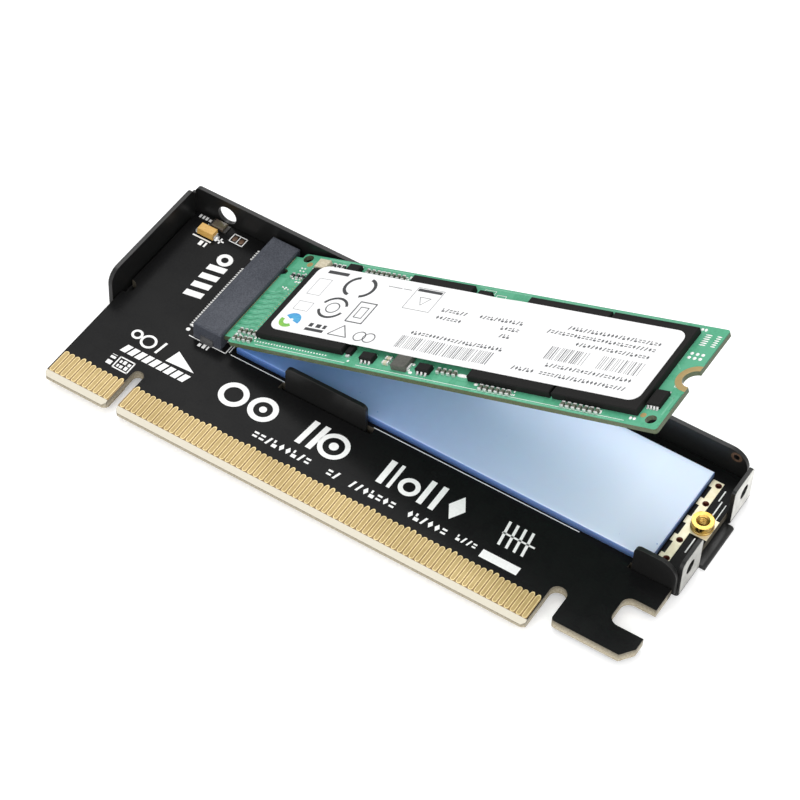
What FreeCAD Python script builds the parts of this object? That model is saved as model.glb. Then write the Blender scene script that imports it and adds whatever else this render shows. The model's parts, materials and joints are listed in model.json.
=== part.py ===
import FreeCAD, Part
import os
import re
import Sketcher
from FreeCAD import Placement, Rotation, Vector

# An M.2 solid-state module on a x16 slot adapter card, in millimetres and degrees.
# x runs along the card's edge connector and is 0 at the middle of its first contact, y runs from
# the connector's front edge to the back of the card, and z = 0 is the card's component side.

SIZES = {
    # card: a circuit board with a x16 tongue, a polarising notch and a retention hook
    "board_thickness": 1.57,
    "standoff_setback": 1.8,
    "board_back": 41.0,
    "board_margin": 0.65,
    "shoulder_rear": 8.65,
    "key_width": 1.9,
    "key_depth": 8.3,
    "full_round": 0.49,
    "end_notch_width": 2.7,
    "tongue_corner": 0.5,
    "bevel_length": 0.95,
    "bevel_depth": 0.45,
    "hook_front": 2.85,
    "hook_corner": 0.65,
    "hook_length": 12.75,
    "hook_nose_width": 1.6,
    "hook_nose_height": 2.15,
    "latch_front": 7.2,
    "latch_rear": 12.55,
    "latch_offset": 6.95,
    "latch_corner": 1.5,
    "side_notch_offset": 8.0,
    "side_notch_radius": 1.4,
    # edge contacts: one row on each face, parted by the key
    "contact_pitch": 1.0,
    "contact_width": 0.7,
    "contact_rear": 5.5,
    "contact_thickness": 0.05,
    "front_contacts": 11,
    "rear_contacts": 71,
    "key_contact_gap": 3.0,
    # tray: folded from one sheet, with the board lying on an insulating film
    "sheet": 0.7,
    "film_thickness": 0.2,
    "film_inset": 0.5,
    "wall_top": 4.9,
    "bend_outside": 0.85,
    "bend_inside": 0.15,
    "left_wall_clearance": 0.42,
    "left_wall_setback": 0.56,
    "left_wall_gap": 0.4,
    "left_wall_corner": 2.2,
    "meeting_corner": 1.0,
    "back_wall_clearance": 0.15,
    "back_wall_gap": 0.27,
    "wall_tip_gap": 0.45,
    "ear_gap": 0.85,
    "large_corner": 3.0,
    "light_window_across": 4.75,
    "light_window_height": 1.9,
    "light_window_radius": 1.7,
    "cover_hole_setback": 2.0,
    "cover_hole_height": 3.6,
    "cover_hole_radius": 0.5,
    "ear_offset": 0.6,
    "ear_inner_half": 4.9,
    "ear_width": 6.0,
    "ear_clearance": 0.15,
    "ear_corner": 1.2,
    "ear_inner_corner": 0.6,
    "bracket_hole_pitch": 16.5,
    "bracket_hole_radius": 1.2,
    "bracket_hole_height": 2.0,
    "lip_reach": 1.55,
    "lip_gap": 0.4,
    "lip_corner": 0.56,
    "corner_relief": 0.45,
    "middle_tab_left": 31.4,
    "middle_tab_length": 14.3,
    "middle_tab_reach": 0.2,
    "end_tab_length": 7.1,
    "end_tab_overhang": 0.25,
    "end_tab_reach": 0.6,
    "free_edge_offset": 11.8,
    "wall_foot": -1.2,
    "tab_corner": 1.0,
    "tab_side_clearance": 1.1,
    "tab_clearance": 0.3,
    "end_tab_clearance": 0.15,
    "end_tab_side_clearance": 0.6,
    # M.2 socket
    "socket_rear": 13.9,
    "socket_heel": 2.25,
    "socket_wall": 0.9,
    "socket_margin": 0.03,
    "socket_roof": 0.82,
    "socket_edge": 0.2,
    "row_margin": 0.8,
    "slot_end_gap": 0.25,
    "slot_floor": 0.3,
    "slot_lip_drop": 0.15,
    "slot_gap": 0.08,
    "key_rib": 1.0,
    "spring_pitch": 0.5,
    "spring_width": 0.22,
    "spring_sheet": 0.15,
    "spring_room": 0.06,
    "spring_tail": 1.6,
    "spring_riser": 0.7,
    "spring_stop": 0.4,
    "lower_tail": 1.05,
    "lower_reach": 1.2,
    "lower_gap": 0.3,
    "lower_lift": 0.3,
    "long_row_count": 29,
    "upper_short_count": 5,
    "key_positions": 4,
    "lower_short_count": 4,
    "solder_tab_length": 2.2,
    "solder_tab_width": 0.42,
    "solder_tab_sheet": 0.2,
    "solder_tab_height": 1.2,
    # standoff, its plated strip and the thermal pad
    "standoff_radius": 1.72,
    "standoff_flange_radius": 1.8,
    "standoff_flange": 0.35,
    "standoff_bore": 0.8,
    "standoff_mouth": 1.05,
    "standoff_peg_radius": 1.2,
    "standoff_peg_clearance": 0.05,
    "plating": 0.05,
    "strip_offset": 2.8,
    "strip_width": 1.85,
    "strip_front_reach": 9.3,
    "strip_rear_reach": 8.75,
    "strip_notch": 0.55,
    "strip_notch_length": 2.5,
    "strip_hole_offset": 1.55,
    "strip_hole_radius": 0.52,
    "strip_hole_near": 4.0,
    "strip_hole_far": 8.0,
    "strip_pad_length": 4.1,
    "pad_start": 2.5,
    "pad_end_gap": 3.0,
    "pad_front_gap": 1.4,
    "pad_gap": 0.1,
    "pad_rear_gap": 2.05,
    "pad_skew": -0.45,
    # tantalum capacitor and status light
    "tantalum_across": 3.45,
    "tantalum_setback": 3.45,
    "tantalum_length": 3.0,
    "tantalum_width": 1.6,
    "tantalum_height": 1.25,
    "tantalum_draft": -4.0,
    "terminal_sheet": 0.12,
    "terminal_width": 1.2,
    "terminal_foot": 0.75,
    "terminal_height": 0.65,
    "light_across": 4.15,
    "light_setback": 1.15,
    "light_length": 3.2,
    "light_width": 1.6,
    "light_height": 0.75,
    "light_base": 0.25,
    "lens_length": 2.2,
    "lens_edge": 0.12,
    # module pose: the pivot line is the middle of the socket's mouth
    "pivot_setback": 0.04,
    "module_seat": 1.5,
    "module_clearance": 0.04,
    "module_tilt": 20.6,
    # module board
    "module_thickness": 0.8,
    "far_margin": 4.0,
    "module_overhang": 0.05,
    "module_corner": 0.5,
    "module_shoulder": 1.5,
    "tongue_length": 4.0,
    "tongue_clearance": 0.25,
    "module_key_width": 1.2,
    "module_key_depth": 3.5,
    "mount_notch_radius": 1.75,
    "mount_ring_radius": 2.75,
    "tooling_hole_radius": 0.85,
    "tooling_near_length": 1.1,
    "tooling_near_edge": 1.1,
    "tooling_far_setback": 1.8,
    "tooling_far_edge": 1.8,
    "finger_width": 0.35,
    "finger_length": 2.5,
    "finger_setback": 0.3,
    "finger_thickness": 0.03,
    # module chips, placed from the board's shoulder and centreline
    "chip_height": 1.1,
    "chip_edge": 0.12,
    "controller_start": 4.4,
    "controller_length": 16.3,
    "controller_width": 16.2,
    "controller_side": -0.9,
    "memory_gap": 1.3,
    "memory_length": 11.3,
    "memory_width": 14.5,
    "memory_side": 2.35,
    "middle_gap": 10.1,
    "flash_length": 14.1,
    "flash_gap": 0.4,
    "flash_border": 3.5,
    "flash_side": 0.15,
    "label_inset": 1.3,
    "label_far_inset": 0.9,
    "under_label": 0.05,
    "label_width": 15.4,
    "label_side": 0.2,
    "label_corner": 1.7,
    "label_thickness": 0.08,
    # module's smaller parts
    "regulator_length": 2.3,
    "regulator_width": 1.5,
    "regulator_height": 0.9,
    "regulator_side": -8.75,
    "first_regulator_offset": 2.2,
    "second_regulator_gap": 1.1,
    "lead_width": 0.32,
    "lead_pitch": 0.7,
    "lead_count": 3,
    "lead_shoulder": 0.12,
    "lead_reach": 0.45,
    "lead_sheet": 0.12,
    "lead_height": 0.45,
    "driver_offset": 5.3,
    "driver_length": 2.2,
    "driver_width": 1.7,
    "driver_gap": 1.75,
    "config_gap": 0.3,
    "config_length": 2.1,
    "config_width": 3.2,
    "config_side": -5.4,
    "config_height": 0.75,
    "config_pitch": 0.5,
    "config_count": 4,
    "coil_offset": 8.2,
    "coil_length": 2.6,
    "coil_width": 2.7,
    "coil_side": -8.5,
    "pale_lead": 0.3,
    "pale_length": 2.1,
    "pale_width": 2.0,
    "pale_gap": 1.3,
    "dark_gap": 1.0,
    "dark_length": 2.3,
    "dark_width": 1.9,
    "dark_side": 8.2,
    # module's chip capacitors and resistors
    "capacitor_length": 1.0,
    "capacitor_width": 0.5,
    "capacitor_height": 0.5,
    "capacitor_end": 0.22,
    "resistor_length": 1.0,
    "resistor_width": 0.5,
    "resistor_height": 0.35,
    "part_pitch": 0.95,
    "edge_row_inset": 1.0,
    "inner_row_side": -8.4,
    "rear_row_gap": 2.0,
    "near_row_start": 0.7,
    "near_row_count": 4,
    "bank_gap": 4.3,
    "bank_count": 4,
    "first_flash_offset": 2.6,
    "first_flash_count": 6,
    "second_flash_offset": 2.1,
    "second_flash_count": 7,
    "rear_row_offset": 8.6,
    "rear_row_count": 8,
    "resistor_row_start": 0.9,
    "resistor_row_count": 3,
    "resistor_row_side": 5.5,
    "rear_resistor_offset": 2.0,
    "rear_resistor_count": 3,
}

# sizes that follow from others, so that neighbours keep together when one of them changes
DERIVED = {
    # card
    "tongue_right": "(front_contacts + rear_contacts - 2) * contact_pitch + key_contact_gap + board_margin",
    "end_notch_right": "tongue_right + end_notch_width",
    "key_centre": "(front_contacts - 1) * contact_pitch + key_contact_gap / 2",
    "hook_right": "end_notch_right + hook_length",
    "latch_root": "end_notch_right + latch_offset",
    "board_right": "standoff_across + standoff_setback",
    "card_centre": "board_back - socket_width / 2 - solder_tab_width - socket_margin",
    "side_notch_centre": "card_centre - side_notch_offset",
    # tray
    "free_edge": "card_centre - free_edge_offset",
    "plate_top": "-board_thickness - film_thickness",
    "plate_bottom": "plate_top - sheet",
    "left_wall_inner": "-board_margin - left_wall_clearance",
    "left_wall_outer": "left_wall_inner - sheet",
    "left_wall_front": "free_edge + left_wall_setback",
    "left_wall_rear": "board_back - left_wall_gap",
    "back_wall_inner": "board_back + back_wall_clearance",
    "back_wall_outer": "back_wall_inner + sheet",
    "back_wall_left": "left_wall_inner + back_wall_gap",
    "back_wall_tip": "left_wall_outer + wall_tip_gap",
    "back_wall_right": "ear_inner - ear_gap",
    "cover_hole_across": "back_wall_right - cover_hole_setback",
    "ear_inner": "board_right + ear_clearance",
    "ear_outer": "ear_inner + sheet",
    "ear_centre": "card_centre - ear_offset",
    "near_ear_front": "ear_centre - ear_inner_half - ear_width",
    "near_ear_rear": "ear_centre - ear_inner_half",
    "far_ear_front": "ear_centre + ear_inner_half",
    "far_ear_rear": "ear_centre + ear_inner_half + ear_width",
    "middle_tab_right": "middle_tab_left + middle_tab_length",
    "middle_tab_front": "free_edge - middle_tab_reach",
    "end_tab_right": "ear_inner + end_tab_overhang",
    "end_tab_left": "end_tab_right - end_tab_length",
    "end_tab_front": "free_edge - end_tab_reach",
    # socket, its rows of contacts and the line that the module turns about
    "row_length": "(long_row_count + key_positions + upper_short_count - 1) * spring_pitch",
    "row_start": "-row_length / 2",
    "short_row_start": "row_start + (long_row_count + key_positions) * spring_pitch",
    "key_offset": "short_row_start - (key_positions / 2 + 1 / 4) * spring_pitch",
    "slot_width": "row_length + row_margin * 2",
    "slot_end": "pivot_across + module_shoulder - tongue_length - slot_end_gap",
    "slot_lip": "module_seat - slot_lip_drop",
    "slot_roof": "module_seat + module_thickness + slot_gap",
    "socket_width": "slot_width + socket_wall * 2",
    "socket_height": "slot_roof + socket_roof",
    "socket_length": "socket_heel + slot_end_gap + tongue_length - module_shoulder + pivot_setback",
    "socket_mouth": "socket_rear + socket_length",
    "pivot_across": "socket_mouth - pivot_setback",
    "pivot_height": "module_seat + module_thickness / 2",
    # standoff, strip, pad and small parts
    "standoff_across": "pivot_across + module_end",
    "strip_left": "standoff_across - strip_offset",
    "strip_front": "card_centre - strip_front_reach",
    "strip_rear": "card_centre + strip_rear_reach",
    "strip_hole_across": "standoff_across - strip_hole_offset",
    "pad_left": "pivot_across + pad_start",
    "pad_length": "module_end - pad_start - pad_end_gap",
    "pad_front": "free_edge + pad_front_gap",
    "pad_rear": "board_back - pad_rear_gap",
    "pad_thickness": "module_seat - pad_gap",
    "tantalum_depth": "board_back - tantalum_setback",
    "light_depth": "board_back - light_setback",
    # module
    "module_top": "module_thickness / 2",
    "chip_top": "module_top + chip_height",
    "module_end": "module_shoulder + module_length",
    "module_length": "far_flash_end + far_margin",
    "tongue_width": "slot_width - tongue_clearance",
    "module_width": "socket_width + module_overhang * 2",
    "tooling_near_side": "module_width / 2 - tooling_near_edge",
    "tooling_far_length": "module_length - tooling_far_setback",
    "tooling_far_side": "tooling_far_edge - module_width / 2",
    "controller_end": "controller_start + controller_length",
    "controller_rear": "controller_side + controller_width / 2",
    "memory_start": "controller_end + memory_gap",
    "memory_end": "memory_start + memory_length",
    "flash_start": "memory_end + middle_gap",
    "flash_width": "module_width - flash_border",
    "far_flash_start": "flash_start + flash_length + flash_gap",
    "far_flash_end": "far_flash_start + flash_length",
    "label_start": "controller_start + label_inset",
    "label_length": "far_flash_end - label_far_inset - label_start",
    "first_regulator": "memory_start + first_regulator_offset",
    "second_regulator": "memory_end + second_regulator_gap",
    "driver_start": "controller_start + driver_offset",
    "driver_side": "controller_rear + driver_gap",
    "config_start": "far_flash_end + config_gap",
    "coil_start": "memory_start + coil_offset",
    "coil_height": "chip_height - under_label",
    "pale_start": "controller_start - pale_lead",
    "pale_side": "controller_rear + pale_gap",
    "pale_height": "chip_height - under_label",
    "dark_start": "memory_end + dark_gap",
    "edge_row_side": "edge_row_inset - module_width / 2",
    "rear_row_side": "controller_rear + rear_row_gap",
    "bank_start": "memory_end + bank_gap",
    "first_flash_row": "flash_start + first_flash_offset",
    "second_flash_row": "far_flash_start + second_flash_offset",
    "rear_row_start": "controller_start + rear_row_offset",
    "rear_resistor_start": "controller_start + rear_resistor_offset",
}

doc = FreeCAD.newDocument("nvme_adapter_card")
sheet = doc.addObject("Spreadsheet::Sheet", "Sizes")
for row, (alias, number) in enumerate(SIZES.items(), start=1):
    sheet.set(f"A{row}", alias)
    sheet.set(f"B{row}", str(number))
    sheet.setAlias(f"B{row}", alias)
doc.recompute()

# the two ears, each from its front to its rear
NEAR_EAR = ("near_ear_front", "near_ear_rear")
FAR_EAR = ("far_ear_front", "far_ear_rear")


def rule(text):
    """Return a size rule as an expression, with derived sizes written out in full."""

    def spelled(word):
        """Write out one word of the rule."""
        name = word.group()
        return f"({rule(DERIVED[name])})" if name in DERIVED else f"Sizes.{name}"

    return re.sub(r"[a-z]\w*", spelled, text)


def size(text):
    """Return the value of a size rule."""
    return float(sheet.evalExpression(rule(text)))


class Piece:
    """One sub-part: a PartDesign body whose sketches and features are bound to the sheet."""

    made = []

    def __init__(self, label):
        self.body = doc.addObject("PartDesign::Body", label)
        self.body.Label = label
        Piece.made.append(self.body)

    def origin(self, role):
        """Find one of the body's own origin planes or axes."""
        return next(part for part in self.body.Origin.OriginFeatures if part.Role == role)

    def sketch(self, plane="XY_Plane", level="0"):
        """Start a sketch on an origin plane, moved along the plane's normal to a level."""
        drawing = self.body.newObject("Sketcher::SketchObject", "Outline")
        drawing.AttachmentSupport = [(self.origin(plane), "")]
        drawing.MapMode = "FlatFace"
        drawing.setExpression("AttachmentOffset.Base.z", rule(level))
        return drawing

    def outline(self, drawing, corners):
        """Draw a closed outline through corners that are pairs of size rules."""
        first = drawing.GeometryCount
        places = [(size(across), size(along)) for across, along in corners]
        points = [Vector(across, along, 0) for across, along in places]
        sides = zip(points, points[1:] + points[:1])
        drawing.addGeometry([Part.LineSegment(start, end) for start, end in sides])
        constraints = []
        for index, (across, along) in enumerate(places):
            line = first + index
            following = first + (index + 1) % len(corners)
            constraints.append(Sketcher.Constraint("Coincident", line, 2, following, 1))
            constraints.append(Sketcher.Constraint("DistanceX", -1, 1, line, 1, across))
            constraints.append(Sketcher.Constraint("DistanceY", -1, 1, line, 1, along))
        numbers = drawing.addConstraint(constraints)
        for index, (across, along) in enumerate(corners):
            drawing.setExpression(f"Constraints[{numbers[3 * index + 1]}]", rule(across))
            drawing.setExpression(f"Constraints[{numbers[3 * index + 2]}]", rule(along))

    def circle(self, drawing, across, along, radius):
        """Draw a circle whose centre and radius are size rules."""
        centre = Vector(size(across), size(along), 0)
        index = drawing.addGeometry(Part.Circle(centre, Vector(0, 0, 1), size(radius)))
        numbers = drawing.addConstraint([
            Sketcher.Constraint("DistanceX", -1, 1, index, 3, centre.x),
            Sketcher.Constraint("DistanceY", -1, 1, index, 3, centre.y),
            Sketcher.Constraint("Radius", index, size(radius)),
        ])
        for number, text in zip(numbers, (across, along, radius)):
            drawing.setExpression(f"Constraints[{number}]", rule(text))

    def add(self, drawing, length):
        """Pad a sketch along its plane's normal."""
        feature = self.body.newObject("PartDesign::Pad", "Pad")
        feature.Profile = drawing
        feature.setExpression("Length", rule(length))
        doc.recompute()
        return feature

    def cut(self, drawing, depth):
        """Pocket a sketch against its plane's normal and make sure that it took something away."""
        before = self.body.Shape.Volume
        feature = self.body.newObject("PartDesign::Pocket", "Pocket")
        feature.Profile = drawing
        feature.setExpression("Length", rule(depth))
        doc.recompute()
        if self.body.Shape.Volume >= before - 1e-9:
            raise ValueError(f"a pocket in {self.body.Label} cuts nothing")
        return feature

    def block(self, across, along, bottom, top):
        """Pad a rectangle that spans two pairs of size rules."""
        drawing = self.sketch(level=bottom)
        self.outline(drawing, rectangle(across, along))
        return self.add(drawing, f"({top}) - ({bottom})")

    def cut_block(self, across, along, bottom, top):
        """Pocket a rectangle that spans two pairs of size rules."""
        drawing = self.sketch(level=top)
        self.outline(drawing, rectangle(across, along))
        return self.cut(drawing, f"({top}) - ({bottom})")

    def row(self, feature, axis, spacing, count):
        """Repeat a feature along an origin axis."""
        pattern = self.body.newObject("PartDesign::LinearPattern", "Row")
        pattern.Originals = [feature]
        pattern.Direction = (self.origin(axis), [""])
        pattern.Mode = "Spacing"
        pattern.setExpression("Offset", rule(spacing))
        pattern.setExpression("Occurrences", rule(count))
        self.body.Tip = pattern
        doc.recompute()
        return pattern

    def edges(self, direction, places):
        """Name the straight edges of the newest feature that lie along a direction at given places."""
        others = [axis for axis in "xyz" if axis != direction]
        wanted = [tuple(size(text) for text in place) for place in places]
        names = []
        for number, edge in enumerate(self.body.Tip.Shape.Edges, start=1):
            start, end = edge.Vertexes[0].Point, edge.Vertexes[-1].Point
            for place in wanted:
                near = all(abs(getattr(point, axis) - value) < 1e-3
                           for point in (start, end) for axis, value in zip(others, place))
                if near and len(edge.Vertexes) == 2:
                    names.append(f"Edge{number}")
        if len(names) < len(wanted):
            raise ValueError(f"{self.body.Label} lacks an edge to dress: {places}")
        return names

    def round(self, direction, places, radius):
        """Fillet straight edges found by their place."""
        return self.dress("PartDesign::Fillet", "Radius", self.edges(direction, places), radius)

    def bevel(self, direction, places, width):
        """Chamfer straight edges found by their place."""
        return self.dress("PartDesign::Chamfer", "Size", self.edges(direction, places), width)

    def bevel_top(self, across, along, top, width):
        """Chamfer the four top edges of a block."""
        names = self.edges("x", [(place, top) for place in along])
        names += self.edges("y", [(place, top) for place in across])
        return self.dress("PartDesign::Chamfer", "Size", names, width)

    def dress(self, kind, measure, names, amount):
        """Add a fillet or chamfer to the newest feature."""
        base = self.body.Tip
        feature = self.body.newObject(kind, "Dressing")
        feature.Base = (base, names)
        feature.setExpression(measure, rule(amount))
        doc.recompute()
        return feature

    def ride_module(self):
        """Place a piece that is drawn in the module's frame: origin on the pivot, x along the module."""
        tilt = Rotation(Vector(0, -1, 0), size("module_tilt"))
        self.body.Placement = Placement(Vector(), tilt)
        self.body.setExpression("Placement.Rotation.Angle", rule("module_tilt"))
        for axis, text in zip("xyz", ("pivot_across", "card_centre", "pivot_height")):
            self.body.setExpression(f"Placement.Base.{axis}", rule(text))
        doc.recompute()

    def move_to(self, across, along, height="0"):
        """Place a piece that is drawn about its own origin."""
        for axis, text in zip("xyz", (across, along, height)):
            self.body.setExpression(f"Placement.Base.{axis}", rule(text))
        doc.recompute()


def rectangle(across, along):
    """Return the corners of a rectangle from two pairs of size rules."""
    left, right = across
    front, rear = along
    return [(left, front), (right, front), (right, rear), (left, rear)]


def span(start, length):
    """Return the two ends of a length that starts at a size rule."""
    return start, f"{start} + {length}"


def about(centre, width):
    """Return the two ends of a width that is centred on a size rule."""
    return f"{centre} - ({width}) / 2", f"{centre} + ({width}) / 2"


# ---------------------------------------------------------------- card


def make_main_board():
    """Cut the card's outline, its connector bevel, and the holes for the tray, strip and standoff."""
    board = Piece("main_board")
    left = "-board_margin"
    key_left, key_right = about("key_centre", "key_width")
    drawing = board.sketch(level="-board_thickness")
    board.outline(drawing, [
        (left, "0"),
        (key_left, "0"),
        (key_left, "key_depth"),
        (key_right, "key_depth"),
        (key_right, "0"),
        ("tongue_right", "0"),
        ("tongue_right", "shoulder_rear"),
        ("end_notch_right", "shoulder_rear"),
        ("end_notch_right", "hook_front"),
        ("hook_right - hook_nose_width", "hook_front"),
        ("hook_right", "hook_front + hook_nose_height"),
        ("hook_right", "latch_front"),
        ("latch_root", "latch_front"),
        ("latch_root", "latch_rear"),
        ("board_right", "latch_rear"),
        ("board_right", "board_back"),
        (left, "board_back"),
    ])
    board.add(drawing, "board_thickness")
    board.round("z", [(key_left, "key_depth"), (key_right, "key_depth")], "key_width * full_round")
    notch = [("tongue_right", "shoulder_rear"), ("end_notch_right", "shoulder_rear")]
    board.round("z", notch, "end_notch_width * full_round")
    board.round("z", [("latch_root", "latch_front"), ("latch_root", "latch_rear")], "latch_corner")
    board.round("z", [("end_notch_right", "hook_front")], "hook_corner")
    corners = [(left, "0"), (key_left, "0"), (key_right, "0"), ("tongue_right", "0")]
    board.bevel("z", corners, "tongue_corner")

    bevels = board.sketch("YZ_Plane", level="tongue_right")
    for face, inward in (("0", "-1"), ("-board_thickness", "1")):
        board.outline(bevels, [
            ("-bevel_length", face),
            ("bevel_length", face),
            ("0", f"{face} + ({inward}) * bevel_depth"),
            ("-bevel_length", f"{face} + ({inward}) * bevel_depth"),
        ])
    board.cut(bevels, "tongue_right + board_margin")

    cuts = board.sketch()
    board.outline(cuts, rectangle(
        ("middle_tab_left - tab_side_clearance", "middle_tab_right + tab_side_clearance"),
        ("middle_tab_front - tab_clearance", "middle_tab_front + sheet + tab_clearance"),
    ))
    board.outline(cuts, rectangle(
        ("end_tab_left - end_tab_side_clearance", "board_right + tab_clearance"),
        ("end_tab_front - end_tab_clearance", "end_tab_front + sheet + end_tab_clearance"),
    ))
    board.circle(cuts, left, "side_notch_centre", "side_notch_radius")
    board.circle(cuts, "standoff_across", "card_centre", "standoff_peg_radius + standoff_peg_clearance")
    for along in strip_holes():
        board.circle(cuts, "strip_hole_across", along, "strip_hole_radius")
    board.cut(cuts, "board_thickness")


def strip_holes():
    """Return where the plated strip's holes lie along the card's depth."""
    return [f"card_centre {step}" for step in
            ("- strip_hole_far", "- strip_hole_near", "+ strip_hole_near", "+ strip_hole_far")]


def make_edge_contacts(label, bottom):
    """Lay one face's row of connector contacts on the tongue, with the key's gap in it."""
    contacts = Piece(label)
    along = "bevel_length", "contact_rear"
    groups = (
        ("0", "front_contacts"),
        ("(front_contacts - 1) * contact_pitch + key_contact_gap", "rear_contacts"),
    )
    for centre, count in groups:
        contact = contacts.block(
            about(centre, "contact_width"), along, bottom, f"{bottom} + contact_thickness")
        contacts.row(contact, "X_Axis", "contact_pitch", count)


def make_ground_strip():
    """Plate the strip beside the standoff, with its holes and the notches between them."""
    strip = Piece("ground_strip")
    strip.block(span("strip_left", "strip_width"), ("strip_front", "strip_rear"), "0", "plating")
    strip.block(
        ("strip_left", "board_right"),
        about("card_centre", "strip_pad_length"), "0", "plating")
    cuts = strip.sketch(level="plating")
    for along in strip_holes():
        strip.circle(cuts, "strip_hole_across", along, "strip_hole_radius")
    strip.circle(cuts, "standoff_across", "card_centre", "standoff_peg_radius + standoff_peg_clearance")
    middles = ("- strip_hole_far + strip_hole_near / 2", "- strip_hole_near / 2",
               "+ strip_hole_near / 2", "+ strip_hole_far - strip_hole_near / 2")
    for step in middles:
        strip.outline(cuts, rectangle(
            ("strip_left - strip_notch", "strip_left + strip_notch"),
            about(f"card_centre {step}", "strip_notch_length"),
        ))
    strip.cut(cuts, "plating")


def make_standoff():
    """Turn the brass standoff: a flanged seat with a tapped bore and a peg that fills its board hole."""
    standoff = Piece("standoff")
    top = "module_seat - module_clearance"
    drawing = standoff.sketch("XZ_Plane")
    standoff.outline(drawing, [
        ("standoff_bore", "-board_thickness"),
        ("standoff_peg_radius", "-board_thickness"),
        ("standoff_peg_radius", "plating"),
        ("standoff_flange_radius", "plating"),
        ("standoff_flange_radius", "standoff_flange"),
        ("standoff_radius", "standoff_flange"),
        ("standoff_radius", top),
        ("standoff_mouth", top),
        ("standoff_bore", f"{top} - standoff_mouth + standoff_bore"),
    ])
    turned = standoff.body.newObject("PartDesign::Revolution", "Turning")
    turned.Profile = drawing
    turned.ReferenceAxis = (drawing, ["V_Axis"])
    turned.Angle = 360
    doc.recompute()
    standoff.move_to("standoff_across", "card_centre")


def make_thermal_pad():
    """Cut the soft pad that the module's chips press on, laid a little askew on the board."""
    pad = Piece("thermal_pad")
    pad.block(about("0", "pad_length"), about("0", "pad_rear - pad_front"), "0", "pad_thickness")
    pad.body.Placement = Placement(Vector(), Rotation(Vector(0, 0, -1), -size("pad_skew")))
    pad.body.setExpression("Placement.Rotation.Angle", rule("-pad_skew"))
    pad.move_to("pad_left + pad_length / 2", "(pad_front + pad_rear) / 2")


def make_tray():
    """Fold the tray from one sheet: plate, left and back walls, two front tabs, two ears and a lip."""
    tray = Piece("tray")
    drawing = tray.sketch(level="plate_bottom")
    lip_near, lip_far = NEAR_EAR[1], FAR_EAR[0]
    tray.outline(drawing, [
        ("left_wall_outer", "left_wall_front"),
        ("left_wall_inner + corner_relief", "left_wall_front"),
        ("left_wall_inner + corner_relief", "free_edge"),
        ("middle_tab_left - corner_relief", "free_edge"),
        ("middle_tab_left - corner_relief", "middle_tab_front + bend_outside + bend_inside"),
        ("middle_tab_left", "middle_tab_front + bend_outside + bend_inside"),
        ("middle_tab_left", "middle_tab_front"),
        ("middle_tab_right", "middle_tab_front"),
        ("middle_tab_right", "middle_tab_front + bend_outside + bend_inside"),
        ("middle_tab_right + corner_relief", "middle_tab_front + bend_outside + bend_inside"),
        ("middle_tab_right + corner_relief", "free_edge"),
        ("end_tab_left - corner_relief", "free_edge"),
        ("end_tab_left - corner_relief", "end_tab_front + bend_outside + bend_inside"),
        ("end_tab_left", "end_tab_front + bend_outside + bend_inside"),
        ("end_tab_left", "end_tab_front"),
        ("ear_inner - corner_relief", "end_tab_front"),
        ("ear_inner - corner_relief", NEAR_EAR[0]),
        ("ear_outer", NEAR_EAR[0]),
        ("ear_outer", lip_near),
        ("ear_inner - corner_relief", lip_near),
        ("ear_inner - corner_relief", f"{lip_near} + lip_gap"),
        ("ear_inner + lip_reach", f"{lip_near} + lip_gap"),
        ("ear_inner + lip_reach", f"{lip_far} - lip_gap"),
        ("ear_inner - corner_relief", f"{lip_far} - lip_gap"),
        ("ear_inner - corner_relief", lip_far),
        ("ear_outer", lip_far),
        ("ear_outer", FAR_EAR[1]),
        ("back_wall_right", FAR_EAR[1]),
        ("back_wall_right", "back_wall_outer"),
        ("back_wall_left", "back_wall_outer"),
        ("back_wall_left", "left_wall_rear"),
        ("left_wall_outer", "left_wall_rear"),
    ])
    tray.add(drawing, "sheet")
    left_wall = (("left_wall_outer", "left_wall_inner"), ("left_wall_front", "left_wall_rear"))
    back_wall = (("back_wall_left", "back_wall_right"), span("back_wall_inner", "sheet"))
    back_wall_tip = (("back_wall_tip", "back_wall_left"), span("back_wall_inner", "sheet"))
    middle_tab = (("middle_tab_left", "middle_tab_right"), span("middle_tab_front", "sheet"))
    end_tab = (("end_tab_left", "ear_inner - corner_relief"), span("end_tab_front", "sheet"))
    end_tab_tip = (("ear_inner - corner_relief", "end_tab_right"), span("end_tab_front", "sheet"))
    near_ear = (span("ear_inner", "sheet"), NEAR_EAR)
    far_ear = (span("ear_inner", "sheet"), FAR_EAR)
    for across, along in (left_wall, back_wall, middle_tab, end_tab, near_ear, far_ear):
        tray.block(across, along, "plate_top", "wall_top")
    for across, along in (end_tab_tip, back_wall_tip):
        tray.block(across, along, "wall_foot", "wall_top")
    tray_bends(tray)
    tray_corners(tray)
    tray_holes(tray)


def tray_bends(tray):
    """Round the folds, with a small radius inside and the sheet's thickness more outside."""
    tray.round("y", [("left_wall_outer", "plate_bottom"), ("ear_outer", "plate_bottom")], "bend_outside")
    tray.round("x", [
        ("back_wall_outer", "plate_bottom"),
        ("middle_tab_front", "plate_bottom"),
        ("end_tab_front", "plate_bottom"),
    ], "bend_outside")
    tray.round("y", [("left_wall_inner", "plate_top"), ("ear_inner", "plate_top")], "bend_inside")
    tray.round("x", [
        ("back_wall_inner", "plate_top"),
        ("middle_tab_front + sheet", "plate_top"),
        ("end_tab_front + sheet", "plate_top"),
    ], "bend_inside")
    tray.round("y", [("ear_inner + lip_reach", "plate_top")], "lip_corner")


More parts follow.
